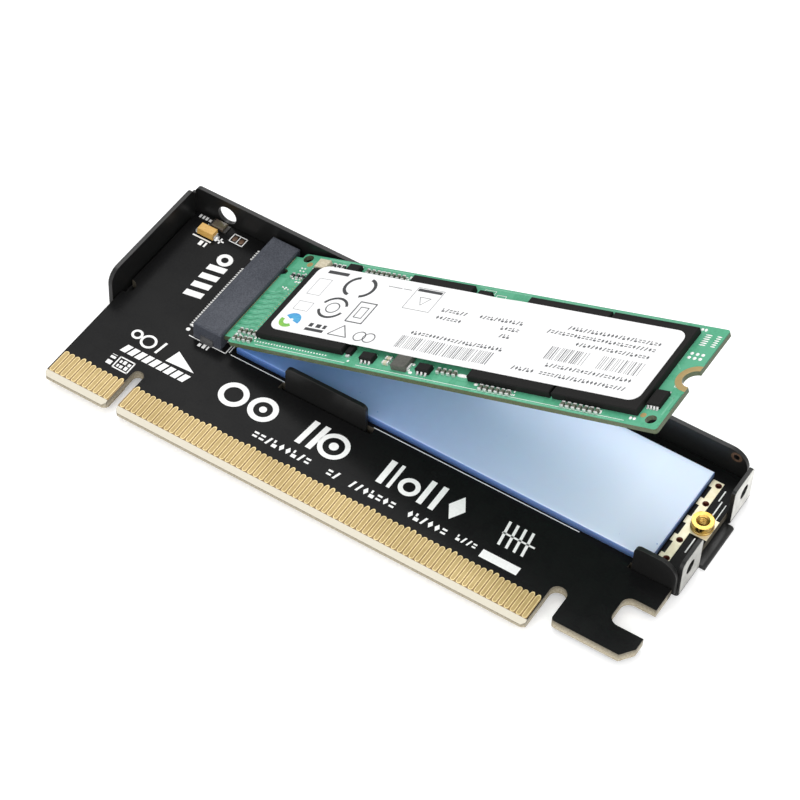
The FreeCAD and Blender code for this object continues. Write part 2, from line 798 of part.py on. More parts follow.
def tray_corners(tray):
    """Round the free corners of the walls, tabs, ears and lip."""
    tray.round("x", [("left_wall_front", "wall_top")], "left_wall_corner")
    tray.round("x", [("left_wall_rear", "wall_top")], "meeting_corner")
    tray.round("x", [(NEAR_EAR[0], "wall_top")], "ear_corner")
    ear_ends = [(end, "wall_top") for end in (NEAR_EAR[1], *FAR_EAR)]
    tray.round("x", ear_ends, "ear_inner_corner")
    tray.round("y", [("back_wall_tip", "wall_top")], "meeting_corner")
    tray.round("y", [("back_wall_right", "wall_top"), ("end_tab_right", "wall_top")], "large_corner")
    tray.round("y", [
        ("middle_tab_left", "wall_top"),
        ("middle_tab_right", "wall_top"),
        ("end_tab_left", "wall_top"),
    ], "tab_corner")


def tray_holes(tray):
    """Drill the light window and cover hole in the back wall, and the bracket holes in the ears."""
    back = tray.sketch("XZ_Plane", level="-back_wall_inner")
    tray.circle(back, "light_window_across", "light_window_height", "light_window_radius")
    tray.circle(back, "cover_hole_across", "cover_hole_height", "cover_hole_radius")
    tray.cut(back, "sheet")
    ears = tray.sketch("YZ_Plane", level="ear_outer")
    for step in ("-", "+"):
        along = f"ear_centre {step} bracket_hole_pitch / 2"
        tray.circle(ears, along, "bracket_hole_height", "bracket_hole_radius")
    tray.cut(ears, "sheet")


def make_insulating_film():
    """Lay the thin film that keeps the board's solder side off the tray."""
    film = Piece("insulating_film")
    film.block(
        ("film_inset", "ear_inner - corner_relief - film_inset"),
        ("middle_tab_front + sheet + film_inset", "board_back - film_inset"),
        "plate_top", "-board_thickness")


def make_tantalum_capacitor():
    """Mould the capacitor's drafted body over its two folded end terminals."""
    body = Piece("bulk_capacitor")
    across, along = about("0", "tantalum_length"), about("0", "tantalum_width")
    drawing = body.sketch(level="terminal_sheet")
    body.outline(drawing, rectangle(across, along))
    moulded = body.add(drawing, "tantalum_height - terminal_sheet")
    moulded.setExpression("TaperAngle", rule("tantalum_draft"))
    body.move_to("tantalum_across", "tantalum_depth")

    terminals = Piece("capacitor_terminals")
    width = about("0", "terminal_width")
    for side in ("-", "+"):
        drawing = terminals.sketch("XZ_Plane", level="-terminal_width / 2")
        face = f"{side} tantalum_length / 2"
        terminals.outline(drawing, [
            (f"{face} {opposite(side)} terminal_foot", "0"),
            (f"{face} {side} terminal_sheet", "0"),
            (f"{face} {side} terminal_sheet", "terminal_height"),
            (face, "terminal_height"),
            (face, "terminal_sheet"),
            (f"{face} {opposite(side)} terminal_foot", "terminal_sheet"),
        ])
        terminals.add(drawing, "terminal_width")
    terminals.move_to("tantalum_across", "tantalum_depth")


def opposite(sign):
    """Return the other sign."""
    return "-" if sign == "+" else "+"


def make_status_light():
    """Stack the status light: a clear lens on its base."""
    base = Piece("status_light_base")
    across, along = about("0", "light_length"), about("0", "light_width")
    base.block(across, along, "0", "light_base")
    base.move_to("light_across", "light_depth")
    lens = Piece("status_light_lens")
    across = about("0", "lens_length")
    lens.block(across, along, "light_base", "light_height")
    lens.bevel_top(across, along, "light_height", "lens_edge")
    lens.move_to("light_across", "light_depth")


# ---------------------------------------------------------------- socket


# the two stretches of each contact row, either side of the key
UPPER_ROWS = (("row_start", "long_row_count"), ("short_row_start", "upper_short_count"))
LOWER_ROWS = (
    ("row_start + spring_pitch / 2", "long_row_count"),
    ("short_row_start + spring_pitch / 2", "lower_short_count"),
)


def make_socket_housing():
    """Mould the housing: a wedge slot, in which the module swings, a key rib and the springs' channels."""
    housing = Piece("socket_housing")
    across, along = span("socket_rear", "socket_length"), about("0", "socket_width")
    housing.block(across, along, "0", "socket_height")
    housing.bevel_top(across, along, "socket_height", "socket_edge")
    ribs = ("key_offset - key_rib / 2", "key_offset + key_rib / 2")
    for near, far in (("-slot_width / 2", ribs[0]), (ribs[1], "slot_width / 2")):
        slot = housing.sketch("XZ_Plane", level=f"-({near})")
        housing.outline(slot, [
            ("slot_end", "slot_floor"),
            ("socket_mouth", "slot_lip"),
            ("socket_mouth", "slot_roof"),
            ("slot_end", "slot_roof"),
        ])
        housing.cut(slot, f"({far}) - ({near})")

    riser = "socket_rear + spring_riser"
    roof = "slot_roof + spring_sheet + spring_room * 2"
    stop = "socket_mouth - spring_stop"
    upper_channel = [
        ("socket_rear", "0"),
        (riser, "0"),
        (riser, "slot_roof"),
        (stop, "slot_roof"),
        (stop, roof),
        ("socket_rear", roof),
    ]
    throat = "socket_mouth - lower_reach"
    ceiling = "spring_sheet + spring_room * 2"
    lower_channel = [
        ("socket_mouth", "0"),
        ("socket_mouth", ceiling),
        (throat, ceiling),
        (throat, "slot_lip"),
        ("slot_end + lower_gap", "slot_lip"),
        ("slot_end + lower_gap", "0"),
    ]
    width = "spring_width + spring_room * 2"
    for rows, profile in ((UPPER_ROWS, upper_channel), (LOWER_ROWS, lower_channel)):
        for start, count in rows:
            channel = housing.sketch("XZ_Plane", level=f"-({start}) + ({width}) / 2")
            housing.outline(channel, profile)
            housing.row(housing.cut(channel, width), "Y_Axis", "spring_pitch", count)
    housing.move_to("0", "card_centre")


def make_socket_contacts():
    """Bend the two rows of spring contacts: tail on the board, riser or ramp, and a beam at the slot."""
    heel = "socket_rear + spring_riser - spring_room"
    beam = "slot_roof + spring_room"
    tip = "socket_mouth - spring_stop - spring_room"
    upper = Piece("socket_upper_contacts")
    upper_profile = [
        ("socket_rear - spring_tail", "0"),
        (heel, "0"),
        (heel, beam),
        (tip, beam),
        (tip, f"{beam} + spring_sheet"),
        (f"{heel} - spring_sheet", f"{beam} + spring_sheet"),
        (f"{heel} - spring_sheet", "spring_sheet"),
        ("socket_rear - spring_tail", "spring_sheet"),
    ]
    ramp = "socket_mouth - lower_reach"
    point = "slot_end + lower_gap + spring_room * 2"
    lower = Piece("socket_lower_contacts")
    lower_profile = [
        ("socket_mouth + lower_tail", "0"),
        ("socket_mouth + lower_tail", "spring_sheet"),
        (ramp, "spring_sheet"),
        (point, "spring_sheet + lower_lift"),
        (point, "lower_lift"),
        (ramp, "0"),
    ]
    for piece, rows, profile in ((upper, UPPER_ROWS, upper_profile), (lower, LOWER_ROWS, lower_profile)):
        for start, count in rows:
            drawing = piece.sketch("XZ_Plane", level=f"-({start}) - spring_width / 2")
            piece.outline(drawing, profile)
            piece.row(piece.add(drawing, "spring_width"), "Y_Axis", "spring_pitch", count)
        piece.move_to("0", "card_centre")


def make_solder_tabs():
    """Fold the two tabs that hold the socket's ends down to the board."""
    tabs = Piece("socket_solder_tabs")
    for side in ("-", "+"):
        drawing = tabs.sketch("YZ_Plane", level="socket_rear + socket_length / 2 - solder_tab_length / 2")
        face = f"{side} socket_width / 2"
        tabs.outline(drawing, [
            (face, "0"),
            (f"{face} {side} solder_tab_width", "0"),
            (f"{face} {side} solder_tab_width", "solder_tab_sheet"),
            (f"{face} {side} solder_tab_sheet", "solder_tab_sheet"),
            (f"{face} {side} solder_tab_sheet", "solder_tab_height"),
            (face, "solder_tab_height"),
        ])
        tabs.add(drawing, "solder_tab_length")
    tabs.move_to("0", "card_centre")


# ---------------------------------------------------------------- module
# Its pieces are drawn in the module's own frame: x from the pivot line towards the far end,
# y from the module's centreline and z from the middle of its board.


def make_module_board():
    """Cut the module's board: a keyed tongue, two tooling holes and the half-round mounting notch."""
    board = Piece("ssd_board")
    tip = "module_shoulder - tongue_length"
    key = "key_offset - module_key_width / 2", "key_offset + module_key_width / 2"
    tongue, body = about("0", "tongue_width"), about("0", "module_width")
    drawing = board.sketch(level="-module_thickness / 2")
    board.outline(drawing, [
        (tip, tongue[0]),
        ("module_shoulder", tongue[0]),
        ("module_shoulder", body[0]),
        ("module_end", body[0]),
        ("module_end", body[1]),
        ("module_shoulder", body[1]),
        ("module_shoulder", tongue[1]),
        (tip, tongue[1]),
        (tip, key[1]),
        (f"{tip} + module_key_depth", key[1]),
        (f"{tip} + module_key_depth", key[0]),
        (tip, key[0]),
    ])
    board.add(drawing, "module_thickness")
    board.round("z", [(f"{tip} + module_key_depth", side) for side in key], "module_key_width * full_round")
    corners = [(end, side) for end in ("module_shoulder", "module_end") for side in body]
    board.round("z", corners, "module_corner")
    cuts = board.sketch(level="module_top")
    board.circle(cuts, "module_end", "0", "mount_notch_radius")
    for end in ("near", "far"):
        across = f"module_shoulder + tooling_{end}_length"
        board.circle(cuts, across, f"tooling_{end}_side", "tooling_hole_radius")
    board.cut(cuts, "module_thickness")
    board.ride_module()


def make_module_fingers():
    """Plate the tongue's contacts on both faces, opposite the socket's springs."""
    fingers = Piece("ssd_contacts")
    across = span("module_shoulder - tongue_length + finger_setback", "finger_length")
    for rows, bottom in ((UPPER_ROWS, "module_top"), (LOWER_ROWS, "-module_top - finger_thickness")):
        for start, count in rows:
            along = about(start, "finger_width")
            finger = fingers.block(across, along, bottom, f"{bottom} + finger_thickness")
            fingers.row(finger, "Y_Axis", "spring_pitch", count)
    fingers.ride_module()


def make_mount_ring():
    """Plate the half ring round the mounting notch, where the screw's head bears."""
    ring = Piece("ssd_mount_ring")
    top = "module_top + finger_thickness"
    disc = ring.sketch(level="module_top")
    ring.circle(disc, "module_end", "0", "mount_ring_radius")
    ring.add(disc, "finger_thickness")
    cuts = ring.sketch(level=top)
    ring.circle(cuts, "module_end", "0", "mount_notch_radius")
    ring.cut(cuts, "finger_thickness")
    outside = span("module_end", "mount_ring_radius")
    ring.cut_block(outside, about("0", "mount_ring_radius * 2"), "module_top", top)
    ring.ride_module()


def make_chip(label, start, length, side, width, height):
    """Mould one chip: a block with chamfered top edges, seated on the module's board."""
    chip = Piece(label)
    across, along = span(f"module_shoulder + {start}", length), about(side, width)
    top = f"module_top + {height}"
    chip.block(across, along, "module_top", top)
    chip.bevel_top(across, along, top, "chip_edge")
    chip.ride_module()


def make_module_chips():
    """Mould the large chips under the label and the smaller ones beside it."""
    # each chip: its node, where it starts, its length, its side of the centreline, its width and its height
    chips = (
        ("controller", "controller_start", *sides("controller"), "chip_height"),
        ("memory", "memory_start", *sides("memory"), "chip_height"),
        ("flash_near", "flash_start", *sides("flash"), "chip_height"),
        ("flash_far", "far_flash_start", *sides("flash"), "chip_height"),
        ("first_regulator", "first_regulator", *sides("regulator"), "regulator_height"),
        ("second_regulator", "second_regulator", *sides("regulator"), "regulator_height"),
        ("driver_chip", "driver_start", *sides("driver"), "regulator_height"),
        ("config_chip", "config_start", *sides("config"), "config_height"),
        ("coil", "coil_start", *sides("coil"), "coil_height"),
        ("pale_capacitor", "pale_start", *sides("pale"), "pale_height"),
        ("rear_chip", "dark_start", *sides("dark"), "regulator_height"),
    )
    for name, start, length, side, width, height in chips:
        make_chip(f"ssd_{name}", start, length, side, width, height)


def sides(kind):
    """Return the sizes that lay a chip out: its length, its side of the centreline and its width."""
    return f"{kind}_length", f"{kind}_side", f"{kind}_width"


def make_chip_leads():
    """Bend the gull-wing leads of the chips that have them, one row along each long side."""
    leads = Piece("ssd_chip_leads")
    chips = (
        ("first_regulator", *sides("regulator"), "lead_pitch", "lead_count"),
        ("second_regulator", *sides("regulator"), "lead_pitch", "lead_count"),
        ("driver_start", *sides("driver"), "lead_pitch", "lead_count"),
        ("config_start", *sides("config"), "config_pitch", "config_count"),
    )
    for start, length, side, width, pitch, count in chips:
        row_length = f"({count} - 1) * {pitch} + lead_width"
        first = f"module_shoulder + {start} + {length} / 2 - ({row_length}) / 2"
        for sign in ("-", "+"):
            face = f"{side} {sign} {width} / 2"
            drawing = leads.sketch("YZ_Plane", level=first)
            leads.outline(drawing, [
                (face, "module_top + lead_height"),
                (f"{face} {sign} lead_shoulder * 2", "module_top + lead_sheet"),
                (f"{face} {sign} lead_reach", "module_top + lead_sheet"),
                (f"{face} {sign} lead_reach", "module_top"),
                (f"{face} {sign} lead_shoulder", "module_top"),
                (face, "module_top + lead_height - lead_sheet"),
            ])
            leads.row(leads.add(drawing, "lead_width"), "X_Axis", pitch, count)
    leads.ride_module()


def make_label():
    """Lay the paper label across the tops of the large chips."""
    label = Piece("ssd_label")
    across = span("module_shoulder + label_start", "label_length")
    along = about("label_side", "label_width")
    label.block(across, along, "chip_top", "chip_top + label_thickness")
    label.round("z", [(x, y) for x in across for y in along], "label_corner")
    label.ride_module()


def make_small_parts():
    """Set the rows of chip capacitors and resistors, each a body between two plated ends."""
    capacitor_rows = (
        ("near_row_start", "inner_row_side", "near_row_count"),
        ("near_row_start", "edge_row_side", "near_row_count"),
        ("bank_start", "inner_row_side", "bank_count"),
        ("first_flash_row", "edge_row_side", "first_flash_count"),
        ("second_flash_row", "edge_row_side", "second_flash_count"),
        ("rear_row_start", "rear_row_side", "rear_row_count"),
    )
    resistor_rows = (
        ("resistor_row_start", "resistor_row_side", "resistor_row_count"),
        ("rear_resistor_start", "rear_row_side", "rear_resistor_count"),
    )
    bodies = {"capacitor": Piece("ssd_capacitors"), "resistor": Piece("ssd_resistors")}
    ends = Piece("ssd_part_ends")
    for kind, rows in (("capacitor", capacitor_rows), ("resistor", resistor_rows)):
        top = f"module_top + {kind}_height"
        for start, side, count in rows:
            across = span(f"module_shoulder + {start}", f"{kind}_width")
            middle = about(side, f"({kind}_length - capacitor_end * 2)")
            body = bodies[kind].block(across, middle, "module_top", top)
            bodies[kind].row(body, "X_Axis", "part_pitch", count)
            for face in (f"{side} - {kind}_length / 2", f"{side} + {kind}_length / 2 - capacitor_end"):
                end = ends.block(across, span(face, "capacitor_end"), "module_top", top)
                ends.row(end, "X_Axis", "part_pitch", count)
    for piece in (*bodies.values(), ends):
        piece.ride_module()


make_main_board()
make_edge_contacts("edge_contacts_top", "0")
make_edge_contacts("edge_contacts_bottom", "-board_thickness - contact_thickness")
make_ground_strip()
make_standoff()
make_thermal_pad()
make_tray()
make_insulating_film()
make_tantalum_capacitor()
make_status_light()
make_socket_housing()
make_socket_contacts()
make_solder_tabs()
make_module_board()
make_module_fingers()
make_mount_ring()
make_module_chips()
make_chip_leads()
make_label()
make_small_parts()

doc.recompute()
for item in doc.Objects:
    if "Invalid" in item.State or "Error" in item.State:
        raise RuntimeError(f"{item.Label} failed: {item.State}")
for body in Piece.made:
    if body.Shape.isNull() or not body.Shape.isValid():
        raise RuntimeError(f"{body.Label} has no valid shape")

os.makedirs("parts", exist_ok=True)
for body in Piece.made:
    body.Shape.exportStep(f"parts/{body.Label}.step")
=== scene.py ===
"""Looks of an NVMe adapter card: a x16 board in a folded steel tray, with its M.2 module swung up.

Lengths in the classes below are in millimetres. The card's own axes start at the front left corner
of its board's upper face. The module's axes start at its shoulder, on its component side: x runs
along the module, y across it and z away from its board.
"""

import json
import logging
import math
import random
from collections.abc import Callable, Sequence
from dataclasses import dataclass, field
from enum import Enum

import bpy
from mathutils import Matrix, Vector

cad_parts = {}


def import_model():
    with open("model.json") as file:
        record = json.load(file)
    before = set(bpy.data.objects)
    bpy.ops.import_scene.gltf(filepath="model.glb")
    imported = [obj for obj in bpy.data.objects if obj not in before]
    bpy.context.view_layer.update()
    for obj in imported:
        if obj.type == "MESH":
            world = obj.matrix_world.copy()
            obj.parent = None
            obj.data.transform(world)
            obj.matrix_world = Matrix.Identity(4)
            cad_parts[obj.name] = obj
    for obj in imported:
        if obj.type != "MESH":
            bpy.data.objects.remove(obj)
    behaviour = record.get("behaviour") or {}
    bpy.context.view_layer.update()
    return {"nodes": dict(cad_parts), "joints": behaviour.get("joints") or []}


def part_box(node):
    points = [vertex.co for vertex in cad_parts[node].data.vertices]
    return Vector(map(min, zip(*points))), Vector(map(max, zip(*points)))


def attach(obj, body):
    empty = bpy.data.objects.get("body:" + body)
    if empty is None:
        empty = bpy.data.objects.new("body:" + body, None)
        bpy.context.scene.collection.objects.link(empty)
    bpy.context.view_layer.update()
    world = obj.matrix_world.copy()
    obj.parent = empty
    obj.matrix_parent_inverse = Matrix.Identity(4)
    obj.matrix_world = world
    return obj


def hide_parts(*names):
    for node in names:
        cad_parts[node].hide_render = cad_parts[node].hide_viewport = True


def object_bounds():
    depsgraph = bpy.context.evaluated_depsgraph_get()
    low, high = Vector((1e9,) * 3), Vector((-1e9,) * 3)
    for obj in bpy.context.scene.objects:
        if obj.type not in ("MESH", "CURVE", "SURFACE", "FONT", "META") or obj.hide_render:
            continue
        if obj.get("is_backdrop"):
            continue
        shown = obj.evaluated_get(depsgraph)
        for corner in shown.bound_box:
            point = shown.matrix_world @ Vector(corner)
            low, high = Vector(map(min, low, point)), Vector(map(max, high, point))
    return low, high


MM = 0.001
GRAIN_SHARE = 0.6  # how much of a surface's mottling is fine grain; the rest is cloud
ROW_FILLED = 0.62  # how much of a row of small blocks is ink

Colour = tuple[float, float, float]
Flat = tuple[float, float]
Direction = tuple[float, float, float]
Outline = Sequence[Sequence[float]]
Nodes = dict[str, bpy.types.Object]
Socket = bpy.types.NodeSocket

log = logging.getLogger("nvme_adapter_card")


class Body(Enum):
    """The two bodies that the pieces ride on."""

    CARD = "card"
    MODULE = "ssd"


def paint(red: int, green: int, blue: int) -> Colour:
    """Turn screen values from 0 to 255 into the linear values that shaders take.

    Args:
        red: Red on a screen.
        green: Green on a screen.
        blue: Blue on a screen.

    Returns:
        The same colour in linear light.
    """

    def linear(value: int) -> float:
        """Give one channel in linear light."""
        share = value / 255
        return share / 12.92 if share <= 0.04045 else ((share + 0.055) / 1.055) ** 2.4

    return linear(red), linear(green), linear(blue)


# ---- Finishes ----


class Graph:
    """Short calls for the shader nodes of one material, or of the world."""

    def __init__(self, owner: bpy.types.Material | bpy.types.World) -> None:
        """Start with no nodes.

        Args:
            owner: The new material or world that they belong to.
        """
        self.owner = owner
        owner.use_nodes = True
        self.tree = owner.node_tree
        self.tree.nodes.clear()

    def node(self, kind: str, inputs: dict | None = None, **settings) -> bpy.types.Node:
        """Add a node, set its options and fill its sockets.

        Args:
            kind: Blender's name for the node.
            inputs: Socket names or numbers, each with a value or a socket to link from.
            **settings: The node's own options.

        Returns:
            The new node.
        """
        made = self.tree.nodes.new(kind)
        for key, value in settings.items():
            setattr(made, key, value)
        for key, value in (inputs or {}).items():
            if isinstance(value, Socket):
                self.tree.links.new(value, made.inputs[key])
            elif isinstance(value, tuple) and made.inputs[key].type == "RGBA":
                made.inputs[key].default_value = (*value, 1.0)
            else:
                made.inputs[key].default_value = value
        return made

    def noise(self, place: Socket, scale: float, detail: float = 3.0) -> Socket:
        """Give smooth noise from 0 to 1 with that many waves a metre."""
        inputs = {"Vector": place, "Scale": scale, "Detail": detail}
        return self.node("ShaderNodeTexNoise", inputs).outputs["Fac"]

    def remap(self, value: Socket, start: Flat, end: Flat) -> Socket:
        """Stretch one range of a value over another and clamp it.

        Args:
            value: What is stretched.
            start: The range that it has.
            end: The range that it gets.

        Returns:
            The stretched value.
        """
        names = ("Value", "From Min", "From Max", "To Min", "To Max")
        inputs = dict(zip(names, (value, *start, *end)))
        return self.node("ShaderNodeMapRange", inputs).outputs["Result"]

    def sums(self, operation: str, first: object, second: object = 0.0) -> Socket:
        """Work out one sum of two values."""
        return self.node("ShaderNodeMath", {0: first, 1: second}, operation=operation).outputs[0]

    def blend(self, share: object, first: object, second: object) -> Socket:
        """Mix two colours, the second by its share."""
        inputs = {0: share, 6: first, 7: second}
        return self.node("ShaderNodeMix", inputs, data_type="RGBA").outputs[2]

    def dot(self, first: Socket, second: object) -> Socket:
        """Work out how far two directions agree, from -1 to 1."""
        inputs = {0: first, 1: second}
        return self.node("ShaderNodeVectorMath", inputs, operation="DOT_PRODUCT").outputs["Value"]

    def cells(self, place: Socket, scale: float, **settings) -> Socket:
        """Give the distance to the nearest of scattered points, that many to a metre."""
        inputs = {"Vector": place, "Scale": scale}
        return self.node("ShaderNodeTexVoronoi", inputs, **settings).outputs["Distance"]

    def facing(self, direction: Direction) -> Socket:
        """Say how squarely a face looks along a direction of its own piece.

        Args:
            direction: The direction, of length 1.

        Returns:
            1 for a face square to it and 0 for one alongside it.
        """
        normal = {"Vector": self.node("ShaderNodeNewGeometry").outputs["True Normal"]}
        turned = {"vector_type": "NORMAL", "convert_from": "WORLD", "convert_to": "OBJECT"}
        own = self.node("ShaderNodeVectorTransform", normal, **turned).outputs[0]
        return self.sums("ABSOLUTE", self.dot(own, direction))


@dataclass(frozen=True)
class Finish:
    """A surface: two tones mixed by grain, a range of gloss, fine relief and lighter edges, a painted
    highlight with some real wear.
    """

    name: str
    tone: Colour
    shade: Colour
    gloss: Flat = (0.4, 0.55)
    metal: float = 0.0
    grain: float = 2500.0
    cloud: float = 90.0
    relief: float = 0.004
    # edge: the lighter colour on rounded edges, mostly a painted highlight, partly real wear
    edge: Colour | None = None
    edge_width: float = 0.08
    edge_share: float = 0.6
    specular: float = 0.5
    waxy: float = 0.0
    clear: float = 0.0

    def dressed(self, graph: Graph, place: Socket, colour: Socket) -> Socket:
        """Add what only this kind of surface has; a plain one adds nothing.

        Args:
            graph: The material in the making.
            place: Where a point is on the piece.
            colour: The grained colour.

        Returns:
            The colour to carry on with.
        """
        return colour

    def material(self) -> bpy.types.Material:
        """Build the material.

        Returns:
            The material, with its nodes linked.
        """
        graph = Graph(bpy.data.materials.new(self.name))
        place = graph.node("ShaderNodeTexCoord").outputs["Object"]
        grain = graph.noise(place, self.grain)
        cloud = graph.noise(place, self.cloud)
        fine = graph.sums("MULTIPLY", grain, GRAIN_SHARE)
        coarse = graph.sums("MULTIPLY", cloud, 1 - GRAIN_SHARE)
        mixed = graph.sums("ADD", fine, coarse)
        colour = graph.blend(graph.remap(mixed, (0.35, 0.65), (0.0, 1.0)), self.tone, self.shade)
        colour = self.dressed(graph, place, colour)
        bump = {"Height": grain, "Strength": 0.5, "Distance": self.relief * MM}
        # Lighter colour on rounded edges: a painted edge highlight, partly real wear.
        if self.edge is not None:
            radius = {"Radius": self.edge_width * MM}
            soft = graph.node("ShaderNodeBevel", radius, samples=4).outputs["Normal"]
            true = graph.node("ShaderNodeNewGeometry").outputs["Normal"]
            edge_highlight_and_wear = graph.remap(graph.dot(soft, true), (0.75, 0.99), (1.0, 0.0))
            patchy = graph.remap(cloud, (0.3, 0.6), (self.edge_share * 0.4, self.edge_share))
            colour = graph.blend(graph.sums("MULTIPLY", edge_highlight_and_wear, patchy), colour, self.edge)
            bump["Normal"] = soft
        inputs = {
            "Base Color": colour,
            "Roughness": graph.remap(cloud, (0.3, 0.7), self.gloss),
            "Metallic": self.metal,
            "Specular IOR Level": self.specular,
            "Transmission Weight": self.clear,
            "Subsurface Weight": self.waxy,
            "Subsurface Scale": 0.5 * MM,
            "Normal": graph.node("ShaderNodeBump", bump).outputs["Normal"],
        }
        shader = graph.node("ShaderNodeBsdfPrincipled", inputs).outputs["BSDF"]
        graph.node("ShaderNodeOutputMaterial", {"Surface": shader})
        return graph.owner


@dataclass(frozen=True)
class BoardFinish(Finish):
    """Solder mask over a laminate whose fibre layers show on every cut face, with painted shade on the cut
    faces further back.
    """

    core: Colour = (0.3, 0.24, 0.15)
    bevelled: Colour = (0.8, 0.78, 0.68)
    up: Direction = (0.0, 0.0, 1.0)
    pour: Colour = (0.02, 0.02, 0.02)
    pour_share: float = 0.5
    # painted shade: a dark tone on the cut faces further back and on the upper part of upright cut faces
    painted_shade: Colour = (0.05, 0.045, 0.04)
    painted_shade_from: float = 1000.0
    painted_shade_top: float = 0.0
    cell_scale: float = 420.0
    fibre_scale: float = 3800.0

    def dressed(self, graph: Graph, place: Socket, colour: Socket) -> Socket:
        """Show copper under the mask, laminate where a face isn't flat, and painted shade on cut faces
        further back and on the upper part of upright ones.

        Args:
            graph: The material in the making.
            place: Where a point is on the piece.
            colour: The mask's colour.

        Returns:
            The board's colour.
        """
        cells = graph.cells(place, self.cell_scale, distance="CHEBYCHEV", feature="F1")
        copper = graph.remap(cells, (0.42, 0.46), (self.pour_share, 0.0))
        colour = graph.blend(copper, colour, self.pour)
        fibres = graph.noise(place, self.fibre_scale, 5.0)
        cut = graph.blend(graph.remap(fibres, (0.35, 0.65), (0.0, 0.6)), self.core, self.bevelled)
        flat = graph.facing(self.up)
        slanted = graph.remap(flat, (0.12, 0.3), (0.0, 0.92))
        cut = graph.blend(slanted, cut, self.bevelled)
        # Painted shade: cut faces behind a line across the board, and the upper part of upright cut faces,
        # are darkened.
        spot = graph.node("ShaderNodeSeparateXYZ", {0: place}).outputs
        behind = graph.sums("GREATER_THAN", spot["Y"], self.painted_shade_from * MM)
        behind = graph.sums("MULTIPLY", behind, 0.85)
        above = graph.remap(spot["Z"], (-1.1 * MM, -0.2 * MM), (0.0, self.painted_shade_top))
        upright = graph.remap(flat, (0.1, 0.2), (1.0, 0.0))
        painted_shade_share = graph.sums("MAXIMUM", behind, graph.sums("MULTIPLY", above, upright))
        cut = graph.blend(painted_shade_share, cut, self.painted_shade)
        return graph.blend(graph.remap(flat, (0.93, 0.97), (0.0, 1.0)), cut, colour)


@dataclass(frozen=True)
class TrayFinish(Finish):
    """Black paint, with a painted reflection of the bright surround on the ears' outer faces, stronger on
    the rear ear.
    """

    # The pale colour laid on the ears' outer faces is a painted reflection of the bright surround.
    painted_reflection: Colour = (0.86, 0.85, 0.8)
    outer: float = 98.98
    foot: float = -1.5
    ears: Flat = (20.0, 38.0)
    patch_scale: float = 700.0

    def dressed(self, graph: Graph, place: Socket, colour: Socket) -> Socket:
        """Paint a reflection of the bright surround onto the ears' outer faces.

        Args:
            graph: The material in the making.
            place: Where a point is on the piece.
            colour: The paint's colour.

        Returns:
            The tray's colour.
        """
        spot = graph.node("ShaderNodeSeparateXYZ", {0: place}).outputs
        outside = graph.sums("GREATER_THAN", spot["X"], self.outer * MM)
        upright = graph.sums("GREATER_THAN", spot["Z"], self.foot * MM)
        # The painted reflection grows towards the rear ear.
        share = graph.remap(spot["Y"], (self.ears[0] * MM, self.ears[1] * MM), (0.6, 0.95))
        patchy = graph.remap(graph.noise(place, self.patch_scale), (0.3, 0.65), (0.7, 1.0))
        on_ears = graph.sums("MULTIPLY", outside, upright)
        share = graph.sums("MULTIPLY", on_ears, graph.sums("MULTIPLY", share, patchy))
        return graph.blend(share, colour, self.painted_reflection)


@dataclass(frozen=True)
class PadFinish(Finish):
    """Waxy silicone whose colour fades from painted shade under the module to a painted light tone along
    its length, with a few dark specks in it.
    """

    # pale: the painted light tone that the pad fades to; the darker tone under the module is painted shade
    pale: Colour = (0.8, 0.85, 0.95)
    flank: Colour = (0.07, 0.16, 0.42)
    start: float = 21.0
    end: float = 86.0
    speck_scale: float = 190.0

    def dressed(self, graph: Graph, place: Socket, colour: Socket) -> Socket:
        """Fade the painted shade along the pad into the painted light tone, scatter specks and deepen its
        flanks.

        Args:
            graph: The material in the making.
            place: Where a point is on the piece.
            colour: The darker end's colour, painted shade.

        Returns:
            The pad's colour.
        """
        # Painted shade under the module, fading along the pad into a painted light tone.
        along = graph.node("ShaderNodeSeparateXYZ", {0: place}).outputs["X"]
        share = graph.remap(along, (self.start * MM, self.end * MM), (0.0, 1.0))
        colour = graph.blend(share, colour, self.pale)
        specks = graph.remap(graph.cells(place, self.speck_scale), (0.018, 0.03), (0.7, 0.0))
        colour = graph.blend(specks, colour, self.shade)
        upright = graph.remap(graph.facing((0.0, 0.0, 1.0)), (0.25, 0.8), (0.9, 0.0))
        return graph.blend(upright, colour, self.flank)


